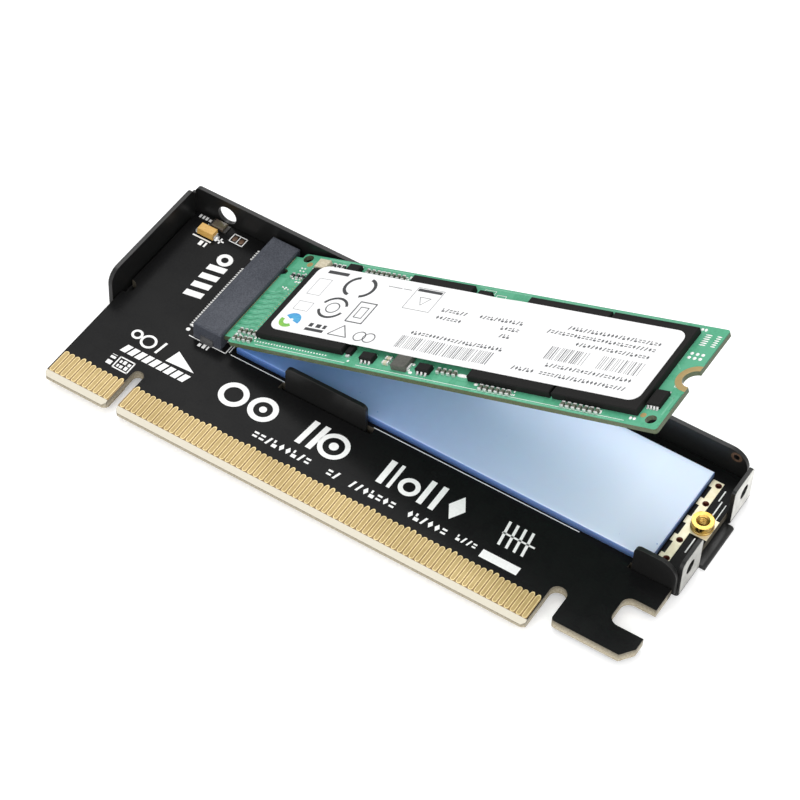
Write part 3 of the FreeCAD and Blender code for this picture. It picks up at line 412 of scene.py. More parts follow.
FINISHES: tuple[Finish, ...] = (
    BoardFinish(
        name="card_mask", tone=paint(24, 24, 24), shade=paint(18, 18, 19), gloss=(0.2, 0.3),
        specular=0.05, relief=0.001, edge=paint(120, 112, 98), edge_width=0.05, edge_share=0.3,
        core=paint(160, 148, 124), bevelled=paint(212, 206, 190), pour=paint(24, 24, 24),
        # painted shade on the cut faces inside the tray and on the upper part of upright cut faces
        painted_shade=paint(58, 54, 48), painted_shade_from=16.0, painted_shade_top=0.6,
    ),
    Finish("bare_laminate", paint(150, 120, 66), paint(122, 94, 46), gloss=(0.4, 0.55), relief=0.01),
    Finish(
        "gold_plate", paint(172, 149, 98), paint(158, 134, 84), gloss=(0.42, 0.56), metal=0.3,
        grain=900.0, edge=paint(244, 226, 180), edge_width=0.05, edge_share=0.75,
    ),
    # painted highlight: the lighter gold laid along each contact's crest as a rim
    Finish(
        "painted_rim_highlight", paint(226, 204, 150), paint(210, 188, 132), gloss=(0.34, 0.46), metal=0.3,
        relief=0.002,
    ),
    Finish(
        "pale_gold_plate", paint(244, 238, 214), paint(226, 216, 184), gloss=(0.34, 0.48), metal=0.4,
        grain=900.0, edge=paint(250, 244, 224),
    ),
    Finish(
        "turned_brass", paint(206, 174, 98), paint(170, 132, 62), gloss=(0.2, 0.3), metal=1.0,
        grain=1600.0, relief=0.006, edge=paint(240, 220, 152), edge_width=0.14, edge_share=0.65,
    ),
    Finish(
        "socket_moulding", paint(80, 83, 91), paint(50, 53, 61), gloss=(0.38, 0.5), grain=5200.0,
        relief=0.006, specular=0.15, edge=paint(132, 136, 146), edge_width=0.07,
    ),
    Finish(
        "bright_tin", paint(238, 238, 236), paint(196, 196, 196), gloss=(0.22, 0.4), metal=0.55,
        grain=2600.0, relief=0.008, edge=paint(250, 250, 250),
    ),
    Finish(
        "fresh_solder", paint(248, 248, 246), paint(228, 228, 226), gloss=(0.26, 0.4), metal=0.15,
        relief=0.006,
    ),
    PadFinish(
        name="pad_silicone", tone=paint(100, 144, 214), shade=paint(90, 134, 206), gloss=(0.36, 0.48),
        # tone is painted shade under the module, and pale the painted light tone it fades to
        grain=700.0, relief=0.008, waxy=0.15, pale=paint(216, 228, 250),
    ),
    TrayFinish(
        "black_tray_paint", paint(28, 28, 28), paint(20, 20, 20), gloss=(0.3, 0.42), grain=3400.0,
        relief=0.008, specular=0.35, edge=paint(76, 75, 72), edge_width=0.12, edge_share=0.5,
    ),
    Finish("film", paint(50, 47, 44), paint(40, 38, 36), gloss=(0.4, 0.5), relief=0.002),
    Finish(
        "capacitor_moulding", paint(216, 176, 96), paint(200, 150, 68), gloss=(0.4, 0.5), grain=3600.0,
        edge=paint(246, 214, 148),
    ),
    Finish(
        "light_resin", paint(112, 108, 82), paint(84, 62, 72), gloss=(0.12, 0.2), clear=0.2,
        cloud=420.0, relief=0.002, edge=paint(190, 182, 160),
    ),
    Finish(
        "chip_moulding", paint(32, 31, 30), paint(24, 24, 24), gloss=(0.42, 0.52), grain=6500.0,
        relief=0.006, specular=0.08, edge=paint(68, 69, 72), edge_width=0.07,
    ),
    Finish(
        "coil_ferrite", paint(90, 90, 84), paint(68, 68, 64), gloss=(0.4, 0.6), specular=0.25,
        grain=3000.0, relief=0.012, edge=paint(142, 142, 136),
    ),
    Finish("pale_ceramic", paint(208, 200, 176), paint(182, 172, 144), edge=paint(232, 226, 208)),
    Finish(
        "label_paper", paint(246, 246, 246), paint(240, 240, 241), gloss=(0.3, 0.42), grain=1400.0,
        relief=0.003,
    ),
    Finish("capacitor_ceramic", paint(96, 98, 82), paint(66, 74, 60), edge=paint(170, 168, 148)),
    Finish(
        "resistor_glaze", paint(30, 30, 32), paint(20, 20, 22), gloss=(0.2, 0.3),
        edge=paint(90, 90, 90),
    ),
    Finish("white_print", paint(244, 244, 243), paint(232, 232, 230), gloss=(0.42, 0.55), relief=0.004),
    Finish("grey_print", paint(92, 93, 96), paint(74, 75, 78), gloss=(0.4, 0.5), relief=0.002),
    Finish("black_print", paint(52, 53, 56), paint(40, 41, 44), gloss=(0.36, 0.46), relief=0.002),
    Finish("blue_print", paint(44, 138, 204), paint(86, 176, 214), gloss=(0.3, 0.4), cloud=700.0),
    Finish("green_print", paint(150, 196, 60), paint(96, 178, 84), gloss=(0.3, 0.4), cloud=700.0),
    Finish(
        "mask_over_copper", paint(114, 188, 154), paint(98, 174, 140), gloss=(0.18, 0.28), relief=0.002,
        edge=paint(168, 222, 196),
    ),
    Finish("mask_in_shade", paint(56, 132, 100), paint(44, 116, 86), gloss=(0.2, 0.3), relief=0.002),
    Finish(
        "worn_steel", paint(112, 86, 66), paint(80, 58, 44), gloss=(0.4, 0.6), metal=0.3, relief=0.01,
    ),
    Finish("hole_copper", paint(112, 52, 30), paint(78, 30, 18), gloss=(0.3, 0.45), metal=0.4),
    # painted shade: dark discs laid in the depth of holes
    Finish("painted_hole_shade", paint(34, 16, 12), paint(22, 10, 8), gloss=(0.5, 0.6)),
    Finish(
        "dull_tin", paint(112, 112, 112), paint(84, 84, 86), gloss=(0.4, 0.55), metal=0.5, relief=0.01,
    ),
)


class Palette:
    """The finishes by name, each built once."""

    def __init__(self) -> None:
        """Start with nothing built."""
        self.finishes = {finish.name: finish for finish in FINISHES}
        self.built: dict[str, bpy.types.Material] = {}

    def add(self, finish: Finish) -> None:
        """Take in a finish that is only known once the frame is loaded."""
        self.finishes[finish.name] = finish

    def __getitem__(self, name: str) -> bpy.types.Material:
        """Give the material of a finish, built the first time that it is asked for.

        Args:
            name: The finish's name.

        Returns:
            Its material.
        """
        if name not in self.built:
            self.built[name] = self.finishes[name].material()
        return self.built[name]


# ---- Meshes ----


def level(x: float, y: float) -> float:
    """Give no lift anywhere, for shapes on a flat face."""
    return 0.0


def circle(x: float, y: float, radius: float, sides: int) -> list[Flat]:
    """Give evenly spaced points round a circle, counter-clockwise."""
    turns = (side * math.tau / sides for side in range(sides))
    return [(x + radius * math.cos(turn), y + radius * math.sin(turn)) for turn in turns]


class Solid:
    """Gathers simple forms into one mesh, in millimetres."""

    def __init__(self) -> None:
        """Start with no points."""
        self.points: list[Vector] = []
        self.faces: list[tuple[int, ...]] = []

    def add_points(self, points: Outline) -> list[int]:
        """Take in points.

        Args:
            points: Places as x, y, z.

        Returns:
            The number of each.
        """
        first = len(self.points)
        self.points.extend(Vector(point) for point in points)
        return list(range(first, first + len(points)))

    def bridge(self, first: Sequence[int], second: Sequence[int], closed: bool = True) -> None:
        """Join two rows of points, the same in number, by four-sided faces.

        Args:
            first: The point numbers of one row.
            second: The point numbers of the other.
            closed: Whether the rows run all the way round.
        """
        count = len(first)
        for here in range(count if closed else count - 1):
            after = (here + 1) % count
            self.faces.append((first[here], first[after], second[after], second[here]))

    def stack(self, loops: Sequence[Outline], capped: bool = True) -> list[list[int]]:
        """Skin closed loops one after another.

        Args:
            loops: Loops of places, each the same in number.
            capped: Whether a face closes the last loop.

        Returns:
            The point numbers, loop by loop.
        """
        numbered = [self.add_points(loop) for loop in loops]
        for lower, upper in zip(numbered, numbered[1:]):
            self.bridge(lower, upper)
        if capped:
            self.faces.append(tuple(numbered[-1]))
        return numbered

    def dome(self, x: float, y: float, across: Flat, base: float, height: float) -> None:
        """Raise a soft dome, such as a bead of solder.

        Args:
            x: Its middle along the piece.
            y: Its middle across the piece.
            across: Its half width along and across.
            base: The face that it sits on.
            height: How high it stands.
        """
        around, rings = 14, 4
        loops = []
        for ring in range(rings):
            angle = ring / rings * math.pi / 2
            rise = base + height * math.sin(angle)
            unit = circle(0.0, 0.0, math.cos(angle), around)
            loops.append([(x + across[0] * u, y + across[1] * v, rise) for u, v in unit])
        self.stack(loops)

    def surface(self, rows: Sequence[Outline]) -> list[list[int]]:
        """Skin a grid of points.

        Args:
            rows: Rows of places, each the same in number.

        Returns:
            The point numbers, row by row.
        """
        numbered = [self.add_points(row) for row in rows]
        for first, second in zip(numbered, numbered[1:]):
            self.bridge(second, first, closed=False)
        return numbered

    def skirt(self, grid: list[list[int]], base: Callable[[Vector], float]) -> None:
        """Close a skinned grid down to a lower face.

        Args:
            grid: The point numbers that surface() gave.
            base: The height of the lower face under a point.
        """
        rim = grid[0] + [row[-1] for row in grid[1:-1]] + grid[-1][::-1]
        rim += [row[0] for row in grid[-2:0:-1]]
        low = self.add_points([(self.points[n].x, self.points[n].y, base(self.points[n])) for n in rim])
        self.bridge(rim, low)
        self.faces.append(tuple(low))

    def make(
        self,
        name: str,
        material: bpy.types.Material,
        body: Body = Body.CARD,
        place: Matrix | None = None,
        smooth: bool = False,
    ) -> bpy.types.Object:
        """Turn the forms into a piece that rides on a body.

        Args:
            name: The piece's name.
            material: Its material.
            body: The body that it rides on.
            place: Where its axes are in the frame, in metres; the frame's own if left out.
            smooth: Whether its faces shade as one curve.

        Returns:
            The piece.
        """
        mesh = bpy.data.meshes.new(name)
        axes = Matrix.Identity(4) if place is None else place
        corners = [axes @ (point * MM) for point in self.points]
        mesh.from_pydata(corners, [], self.faces)
        mesh.validate()
        mesh.update()
        mesh.polygons.foreach_set("use_smooth", [smooth] * len(mesh.polygons))
        mesh.materials.append(material)
        piece = bpy.data.objects.new(name, mesh)
        bpy.context.scene.collection.objects.link(piece)
        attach(piece, body.value)
        log.info("built %s: %d faces", name, len(mesh.polygons))
        return piece


@dataclass
class Print(Solid):
    """Flat shapes printed or plated a little proud of a face."""

    base: float = 0.0
    height: float = 0.02
    lift: Callable[[float, float], float] = level

    def __post_init__(self) -> None:
        """Start with no points."""
        Solid.__init__(self)

    def raised(self, points: Sequence[Flat], high: float) -> Outline:
        """Lift the points of an outline to a height over the face."""
        return [(x, y, self.base + high + self.lift(x, y)) for x, y in points]

    def shape(self, outline: Sequence[Flat]) -> None:
        """Raise one closed outline, given counter-clockwise."""
        self.stack([self.raised(outline, 0.0), self.raised(outline, self.height)])

    def block(self, x0: float, x1: float, y0: float, y1: float) -> None:
        """Raise a rectangle."""
        self.shape([(x0, y0), (x1, y0), (x1, y1), (x0, y1)])

    def slanted(self, x0: float, x1: float, y0: float, y1: float, lean: float) -> None:
        """Raise a rectangle whose upper side leans over."""
        self.shape([(x0, y0), (x1, y0), (x1 + lean, y1), (x0 + lean, y1)])

    def disc(self, x: float, y: float, radius: float, sides: int = 20) -> None:
        """Raise a round dot."""
        self.shape(circle(x, y, radius, sides))

    def arc(self, middle: Flat, radii: Flat, start: float = 0, sweep: float = 360) -> None:
        """Raise a ring, or part of one.

        Args:
            middle: Its middle.
            radii: Its inner and outer radius.
            start: Where it starts, in degrees from the x axis.
            sweep: How far it goes round, in degrees.
        """
        steps = max(4, round(sweep / 12))
        turns = [math.radians(start + sweep * step / steps) for step in range(steps + 1)]
        inner, outer = radii
        for here, after in zip(turns, turns[1:]):
            corners = ((inner, here), (outer, here), (outer, after), (inner, after))
            self.shape([(middle[0] + r * math.cos(t), middle[1] + r * math.sin(t)) for r, t in corners])

    def line(self, points: Sequence[Flat], width: float) -> None:
        """Raise a line through points, its corners filled, in steps short enough to follow the face.

        Args:
            points: The points that it runs through.
            width: How wide it is.
        """
        longest = 3
        for here, after in zip(points, points[1:]):
            run = math.hypot(after[0] - here[0], after[1] - here[1])
            across = (-(after[1] - here[1]) / run * width / 2, (after[0] - here[0]) / run * width / 2)
            steps = max(1, math.ceil(run / longest))
            for step in range(steps):
                start, end = step / steps, (step + 1) / steps
                first = [here[axis] + (after[axis] - here[axis]) * start for axis in (0, 1)]
                last = [here[axis] + (after[axis] - here[axis]) * end for axis in (0, 1)]
                self.shape(
                    [
                        (first[0] - across[0], first[1] - across[1]),
                        (last[0] - across[0], last[1] - across[1]),
                        (last[0] + across[0], last[1] + across[1]),
                        (first[0] + across[0], first[1] + across[1]),
                    ]
                )
        for corner in points[1:-1]:
            self.disc(corner[0], corner[1], width / 2, 8)

    def frame(self, x0: float, x1: float, y0: float, y1: float, width: float) -> None:
        """Raise the outline of a rectangle."""
        self.line([(x0, y0), (x1, y0), (x1, y1), (x0, y1), (x0, y0)], width)

    def bars(self, x0: float, x1: float, y0: float, y1: float, seed: int) -> None:
        """Raise a row of small blocks of uneven width.

        Args:
            x0: Where the row starts.
            x1: Where the row ends.
            y0: The row's lower side.
            y1: The row's upper side.
            seed: Picks the widths, the same each time.
        """
        pick = random.Random(seed)
        tall = y1 - y0
        x = x0
        while x < x1:
            wide = tall * pick.uniform(0.4, 0.8)
            cut = tall * pick.choice((0.0, 0.0, 0.22))
            self.block(x, min(x + wide, x1), y0, y1 - cut)
            x += wide / ROW_FILLED

    def signs(self, x0: float, x1: float, y0: float, y1: float, seed: int) -> None:
        """Raise a row of small plain shapes: diamonds, blocks, pairs of bars and slanted bars.

        Args:
            x0: Where the row starts.
            x1: Where the row ends.
            y0: The row's lower side.
            y1: The row's upper side.
            seed: Picks the shapes, the same each time.
        """
        pick = random.Random(seed)
        tall = y1 - y0
        wide = tall * 0.56
        line = tall * 0.2
        x = x0
        while x + wide <= x1:
            kind = pick.randrange(4)
            if kind == 0:
                across, up = x + wide / 2, (y0 + y1) / 2
                self.shape([(across, y0), (x + wide, up), (across, y1), (x, up)])
            elif kind == 1:
                for y in (y0 + tall * 0.12, y0 + tall * 0.62):
                    self.block(x, x + wide, y, y + line * 1.2)
            elif kind == 2:
                self.slanted(x, x + line * 1.3, y0, y1, wide - line * 1.3)
            else:
                self.block(x, x + wide, y0, y0 + tall * 0.45)
                self.block(x, x + wide * 0.4, y0 + tall * 0.6, y1)
            x += tall * 0.82

    def columns(self, x0: float, x1: float, y0: float, y1: float, seed: int) -> None:
        """Raise a row of small blocks that runs across the piece instead of along it.

        Args:
            x0: Its left side.
            x1: Its right side.
            y0: Its lower side.
            y1: Its upper side.
            seed: Picks the widths, the same each time.
        """
        pick = random.Random(seed)
        wide = x1 - x0
        y = y0
        while y < y1:
            tall = wide * pick.uniform(0.5, 0.9)
            self.block(x0, x1, y, min(y + tall, y1))
            y += tall / ROW_FILLED

    def stripes(self, x0: float, x1: float, y0: float, y1: float, seed: int) -> None:
        """Raise upright stripes of three widths, side by side.

        Args:
            x0: Its left side.
            x1: Its right side.
            y0: Its lower side.
            y1: Its upper side.
            seed: Picks the widths, the same each time.
        """
        pick = random.Random(seed)
        x = x0
        while x < x1:
            wide = pick.choice((0.07, 0.09, 0.16))
            self.block(x, x + wide, y0, y1)
            x += wide + pick.choice((0.18, 0.26, 0.44))


# ---- The card ----


@dataclass
class CardDress:
    """Finishes of the card's own pieces, and the print, bare laminate and solder on its board."""

    palette: Palette
    key_notch: Flat = (10.62, 12.38)
    laminate_height: float = 0.012
    empty_pads: tuple[Flat, ...] = ((7.6, 39.15), (8.8, 39.15))
    tail_pitch: float = 0.5
    tail_width: float = 0.22
    missing_tails: tuple[int, ...] = (29, 30, 31, 32)
    finishes: dict[str, str] = field(
        default_factory=lambda: {
            "main_board": "card_mask",
            "edge_contacts_top": "gold_plate",
            "edge_contacts_bottom": "gold_plate",
            "ground_strip": "pale_gold_plate",
            "standoff": "turned_brass",
            "socket_housing": "socket_moulding",
            "socket_upper_contacts": "bright_tin",
            "socket_lower_contacts": "bright_tin",
            "socket_solder_tabs": "dull_tin",
            "tray": "black_tray_paint",
            "insulating_film": "film",
            "bulk_capacitor": "capacitor_moulding",
            "capacitor_terminals": "bright_tin",
            "status_light_base": "film",
            "status_light_lens": "light_resin",
        }
    )

    def large_marks(self, ink: Print) -> None:
        """Print the large marks along the card's front half, as plain shapes.

        Args:
            ink: The print that they are added to.
        """
        ink.arc((6.6, 14.2), (0.55, 0.95))
        ink.arc((8.9, 13.9), (0.95, 1.35))
        ink.slanted(10.8, 11.2, 12.6, 15.2, 0.4)
        for step in range(9):
            ink.slanted(6.2 + step * 1.32, 7.2 + step * 1.32, 10.1, 11.7, 0.5)
        ink.shape([(13.2, 12.2), (18.2, 12.5), (13.9, 14.9)])
        ink.arc((25.6, 12.4), (1.5, 2.4))
        ink.arc((30.9, 12.4), (1.5, 2.4))
        ink.disc(30.9, 12.4, 0.6)
        for x in (38.1, 40.0):
            ink.slanted(x, x + 0.95, 9.9, 15.0, 0.5)
        ink.arc((43.6, 12.3), (1.7, 2.5))
        ink.disc(43.6, 12.3, 0.75)
        for x0, x1 in ((52.2, 53.2), (54.0, 54.6), (59.2, 60.1), (61.2, 62.1)):
            ink.block(x0, x1, 10.2, 15.0)
        ink.arc((57.0, 12.0), (0.95, 1.7))
        ink.shape([(64.9, 10.2), (66.3, 12.6), (64.9, 15.0), (63.5, 12.6)])
        for step in range(4):
            ink.slanted(73.1 + step * 1.3, 73.55 + step * 1.3, 10.2, 14.8, -0.6)
        ink.line([(72.7, 12.5), (78.1, 12.5)], 0.3)
        ink.block(72.0, 78.3, 6.8, 8.3)

    def small_marks(self, ink: Print) -> None:
        """Print the rows of small blocks and the outlines round the parts.

        Args:
            ink: The print that they are added to.
        """
        rows = ((32.3, 43.0), (45.4, 47.6), (49.4, 57.2), (59.4, 66.6))
        for seed, (x0, x1) in enumerate(rows, start=3):
            ink.signs(x0, x1, 7.15, 8.55, seed)
        ink.signs(67.6, 71.2, 7.5, 8.6, 9)
        for step in range(4):
            y = 25.0 + step * 2.1
            ink.shape([(7.4, y), (10.4, y + 0.55), (10.4, y + 1.75), (7.4, y + 1.2)])
        ink.arc((8.9, 34.4), (0.6, 1.3))
        ink.bars(15.4, 17.2, 17.4, 18.2, 12)
        ink.frame(7.2, 9.8, 6.8, 9.1, 0.22)
        ink.bars(7.6, 9.5, 8.05, 8.75, 13)
        ink.bars(7.6, 9.5, 7.15, 7.85, 14)
        ink.columns(5.8, 6.7, 6.9, 9.0, 15)
        ink.frame(7.0, 9.4, 38.3, 40.0, 0.16)
        ink.line([(8.2, 38.3), (8.2, 40.0)], 0.14)
        ink.bars(0.1, 2.4, 39.9, 40.6, 16)
        ink.bars(3.3, 4.6, 34.9, 35.9, 17)
        ink.line([(5.3, 37.4), (6.6, 37.4)], 0.25)
        ink.line([(5.95, 36.8), (5.95, 38.0)], 0.25)
        ink.line([(1.5, 36.3), (4.9, 36.3)], 0.28)
        ink.line([(2.3, 39.4), (4.5, 39.4)], 0.2)

    def outlines(self, ink: Print) -> None:
        """Print the long thin lines beside the socket, the pad and the standoff.

        Args:
            ink: The print that they are added to.
        """
        ink.line([(13.2, 18.45), (19.9, 18.45), (19.9, 20.6)], 0.16)
        ink.line([(20.3, 18.9), (20.3, 20.8)], 0.16)
        ink.disc(12.4, 19.4, 0.34)
        ink.line([(20.7, 18.72), (30.6, 18.72)], 0.14)
        ink.line([(46.6, 18.72), (82.0, 18.72)], 0.14)
        ink.line([(96.7, 31.8), (96.7, 35.3)], 0.2)
        ink.line([(96.2, 35.1), (96.2, 37.3)], 0.2)
        ink.line([(96.6, 24.0), (96.6, 27.1)], 0.2)
        ink.line([(97.5, 31.5), (97.5, 35.0)], 0.14)

    def print(self) -> None:
        """Print the card's upper face."""
        ink = Print()
        self.large_marks(ink)
        self.small_marks(ink)
        self.outlines(ink)
        ink.make("card_print", self.palette["white_print"])

    def bare_laminate(self) -> None:
        """Lay the strips of unmasked laminate that the gold contacts stand on."""
        low, high = (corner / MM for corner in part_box("edge_contacts_top"))
        board_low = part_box("main_board")[0] / MM
        thick = self.laminate_height
        for side, base, height in (("top", 0.0, thick), ("bottom", board_low.z, -thick)):
            strip = Print(base=base, height=height)
            for x0, x1 in ((low.x - 0.12, self.key_notch[0]), (self.key_notch[1], high.x + 0.15)):
                strip.block(x0, x1, low.y + 0.02, high.y - 0.28)
            strip.make(f"bare_laminate_{side}", self.palette["bare_laminate"])

    def solder(self) -> None:
        """Put solder at the capacitor's ends, on the socket's tails and on the two empty pads."""
        low, high = (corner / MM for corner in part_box("capacitor_terminals"))
        middle = (low.y + high.y) / 2
        beads = Solid()
        for x in (low.x - 0.12, high.x + 0.12):
            beads.dome(x, middle, (0.42, 0.62), 0.0, 0.34)
        beads.make("capacitor_solder", self.palette["bright_tin"], smooth=True)
        low, high = (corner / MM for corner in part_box("socket_upper_contacts"))
        tails = Solid()
        count = round((high.y - low.y - self.tail_width) / self.tail_pitch) + 1
        first = low.y + self.tail_width / 2
        for step in range(count):
            if step not in self.missing_tails:
                tails.dome(low.x + 0.22, first + step * self.tail_pitch, (0.52, 0.19), 0.0, 0.3)
        tails.make("tail_solder", self.palette["fresh_solder"], smooth=True)
        pads = Solid()
        for x, y in self.empty_pads:
            pads.dome(x, y, (0.42, 0.6), 0.0, 0.07)
        pads.make("empty_pads", self.palette["worn_steel"], smooth=True)

    def build(self, nodes: Nodes) -> None:
        """Dress the card.

        Args:
            nodes: The frame's pieces by name.
        """
        for node, finish in self.finishes.items():
            nodes[node].data.materials[0] = self.palette[finish]
        self.print()
        self.bare_laminate()
        self.solder()


@dataclass
class Contacts:
    """The card's upper contacts, each a plated bar with round ends and a soft edge."""

    palette: Palette
    widen: float = 0.05
    shoulder: float = 0.07
    pointed: int = 7
    point: float = 0.7
    rim_rise: float = 0.012

    def loops(self, x: float, half: float, ends: Flat, tip: float, steps: Sequence[Flat]) -> list[Outline]:
        """Lay the loops of one bar, or of a rim round it, from its outer foot inwards.

        Args:
            x: Its middle.
            half: Half of its width.
            ends: Its front and rear end.
            tip: How far its rear end is drawn out to a point.
            steps: Each loop's inset and height.

        Returns:
            The loops.
        """
        turns = [(math.cos(step * math.pi / 6), math.sin(step * math.pi / 6)) for step in range(7)]
        front, rear = ends[0] + half, ends[1] - half
        laid = []
        for inset, high in steps:
            radius = half - inset
            back = [(x + radius * u, rear + radius * v * (1 + tip), high) for u, v in turns]
            laid.append(back + [(x - radius * u, front - radius * v, high) for u, v in turns])
        return laid

    def build(self, node: bpy.types.Object) -> None:
        """Make the row in place of the frame's plain one, and the lighter rims on it, a painted highlight.

        Args:
            node: The frame's row of contacts.
        """
        spots = [vertex.co / MM for vertex in node.data.vertices]
        sides = sorted({round(spot.x, 3) for spot in spots})
        ends = (min(spot.y for spot in spots), max(spot.y for spot in spots))
        top = max(spot.z for spot in spots)
        crest = top + self.rim_rise
        row, rim_highlights = Solid(), Solid()
        body = ((0.0, 0.0), (0.0, top * 0.55), (self.shoulder, top))
        # The rim is a painted highlight: a lighter gold strip along each bar's crest.
        rim = ((0.02, top * 0.7), (0.05, crest), (0.13, crest), (0.15, top * 0.7))
        for number, (left, right) in enumerate(zip(sides[::2], sides[1::2])):
            tip = self.point if number % self.pointed in (3, 4) else 0.0
            bar = ((left + right) / 2, (right - left) / 2 + self.widen, ends, tip)
            row.stack(self.loops(*bar, body))
            rim_highlights.stack(self.loops(*bar, rim), capped=False)
        rim_highlights.make("contact_rim_highlights", self.palette["painted_rim_highlight"])
        made = row.make("round_contacts", self.palette["gold_plate"])
        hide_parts(node.name)


@dataclass
class StripHoles:
    """The plated barrels of the strip's holes, and painted shade at their feet."""

    palette: Palette
    across: float = 94.85
    steps: tuple[float, ...] = (-8.0, -4.0, 4.0, 8.0)
    middle: float = 29.6
    radii: Flat = (0.5, 0.4)
    depth: Flat = (-1.55, 0.06)
    sides: int = 24

    def build(self) -> None:
        """Line the holes."""
        (outer, inner), (foot, top) = self.radii, self.depth
        barrels, feet = Solid(), Print(base=foot)
        for step in self.steps:
            y = self.middle + step
            walls = ((outer, foot), (outer, top), (inner, top), (inner, foot))
            rings = [(circle(self.across, y, radius, self.sides), z) for radius, z in walls]
            loops = barrels.stack([[(*spot, z) for spot in ring] for ring, z in rings], capped=False)
            barrels.bridge(loops[-1], loops[0])
            # A dark disc at each hole's foot is painted shade.
            feet.disc(self.across, y, inner, self.sides)
        barrels.make("strip_barrels", self.palette["hole_copper"], smooth=True)
        feet.make("strip_hole_feet", self.palette["painted_hole_shade"])


@dataclass
class Pad:
    """The thermal pad, laid a little askew on the board."""

    palette: Palette
    middle: Flat
    length: float
    width: float
    height: float
    skew: float = -0.45
    rounding: float = 0.25
    wave: float = 0.02
    pitches: Flat = (0.9, 0.8)

    @classmethod
    def measure(cls) -> dict[str, object]:
        """Give the pad's middle and its own size from the box that it fills askew.

        Returns:
            The measures by field.
        """
        low, high = (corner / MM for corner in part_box("thermal_pad"))
        turn = math.radians(abs(cls.skew))
        wide, deep = high.x - low.x, high.y - low.y
        scale = math.cos(turn) ** 2 - math.sin(turn) ** 2
        return {
            "middle": ((low.x + high.x) / 2, (low.y + high.y) / 2),
            "length": (wide * math.cos(turn) - deep * math.sin(turn)) / scale,
            "width": (deep * math.cos(turn) - wide * math.sin(turn)) / scale,
            "height": high.z - low.z,
        }

    def lines(self, half: float, pitch: float) -> list[float]:
        """Space the grid's lines, closer together at the rounded edge.

        Args:
            half: Half of the pad's size that way.
            pitch: The spacing away from the edge.

        Returns:
            Places from one edge to the other.
        """
        edge = [half - self.rounding * share for share in (0.0, 0.12, 0.3, 0.6, 1.0)]
        inside = half - self.rounding
        count = max(2, round(inside * 2 / pitch))
        run = [-inside + inside * 2 * step / count for step in range(1, count)]
        return [-place for place in edge] + run + edge[::-1]

    def top(self, x: float, y: float) -> float:
        """Give the upper face's height: rounded at the edge, gently uneven elsewhere.

        Args:
            x: The place along the pad.
            y: The place across it.

        Returns:
            The height over the board.
        """
        inside = min(self.length / 2 - abs(x), self.width / 2 - abs(y), self.rounding)
        fall = self.rounding - math.sqrt(max(0.0, self.rounding**2 - (self.rounding - inside) ** 2))
        wave = math.sin(x * 0.21 + y * 0.35) * math.sin(y * 0.5 - x * 0.07)
        return self.height - self.wave - fall + self.wave * wave * inside / self.rounding

    def build(self) -> None:
        """Make the pad in place of the frame's plain one."""
        solid = Solid()
        along = self.lines(self.length / 2, self.pitches[0])
        across = self.lines(self.width / 2, self.pitches[1])
        grid = solid.surface([[(x, y, self.top(x, y)) for y in across] for x in along])
        solid.skirt(grid, lambda point: 0.0)
        turn = Matrix.Rotation(math.radians(self.skew), 4, "Z")
        place = Matrix.Translation(Vector((*self.middle, 0.0)) * MM) @ turn
        pad = solid.make("thermal_pad_soft", self.palette["pad_silicone"], place=place, smooth=True)
        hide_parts("thermal_pad")


@dataclass
class Thread:
    """The standoff's inner thread, as one helical ridge."""

    palette: Palette
    bore: float = 0.8
    crest: float = 0.64
    sunk: float = 0.02
    pitch: float = 0.4
    low: float = -1.25
    high: float = 1.15
    around: int = 32

    def build(self) -> None:
        """Wind the ridge up the bore."""
        low, high = (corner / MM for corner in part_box("standoff"))
        x, y = (low.x + high.x) / 2, (low.y + high.y) / 2
        steps = round((self.high - self.low) / self.pitch * self.around)
        root = self.bore + self.sunk
        profile = ((root, -0.17), (self.crest, -0.03), (self.crest, 0.03), (root, 0.17))
        rows = []
        for step in range(steps + 1):
            turn = step / self.around * math.tau
            rise = self.low + step / self.around * self.pitch
            rows.append([(x + r * math.cos(turn), y + r * math.sin(turn), rise + z) for r, z in profile])
        ridge = Solid()
        ridge.surface(rows)
        thread = ridge.make("standoff_thread", self.palette["turned_brass"])


@dataclass
class CornerPaint:
    """Thick paint that bridges the slit where the tray's two walls meet."""

    palette: Palette
    across: Flat = (-1.62, -1.1)
    along: Flat = (40.5, 41.25)
    heights: Flat = (-1.5, 4.0)
    bulge: float = 0.05
    steps: int = 8

    def build(self) -> None:
        """Fill the slit with a strip that bulges a little."""
        (x0, x1), (y0, y1), (foot, top) = self.across, self.along, self.heights
        loops = []
        for step in range(self.steps + 1):
            z = foot + (top - foot) * step / self.steps
            out = self.bulge * math.sin(step * math.pi / self.steps)
            loops.append([(x0 - out, y0, z), (x1 + out, y0, z), (x1 + out, y1, z), (x0 - out, y1, z)])
        strip = Solid()
        strip.faces.append(tuple(strip.stack(loops)[0][::-1]))
        strip.make("tray_corner_paint", self.palette["black_tray_paint"])


@dataclass
class PinHole:
    """Steel that a pin has rubbed bare round the small hole in the back wall, and painted shade behind it.
    """

    palette: Palette
    middle: Flat = (95.5, 3.6)
    wall: Flat = (41.15, 41.85)
    radii: Flat = (0.5, 0.92)
    sides: int = 24

    def build(self) -> None:
        """Lay the ring on the wall's inner face and the painted shade disc at its outer one."""
        ring, disc = Print(), Print()
        ring.arc((0.0, 0.0), self.radii)
        disc.disc(0.0, 0.0, self.radii[0] - 0.01, self.sides)
        upright = Matrix.Rotation(math.radians(90), 4, "X")
        for name, shape, y, finish in (
            ("pin_hole_wear", ring, self.wall[0], "worn_steel"),
            # the dark disc behind the hole is painted shade
            ("pin_hole_back", disc, self.wall[1] - disc.height, "painted_hole_shade"),
        ):
            place = Matrix.Translation(Vector((self.middle[0], y, self.middle[1])) * MM) @ upright
            shape.make(name, self.palette[finish], place=place)


# ---- The module ----


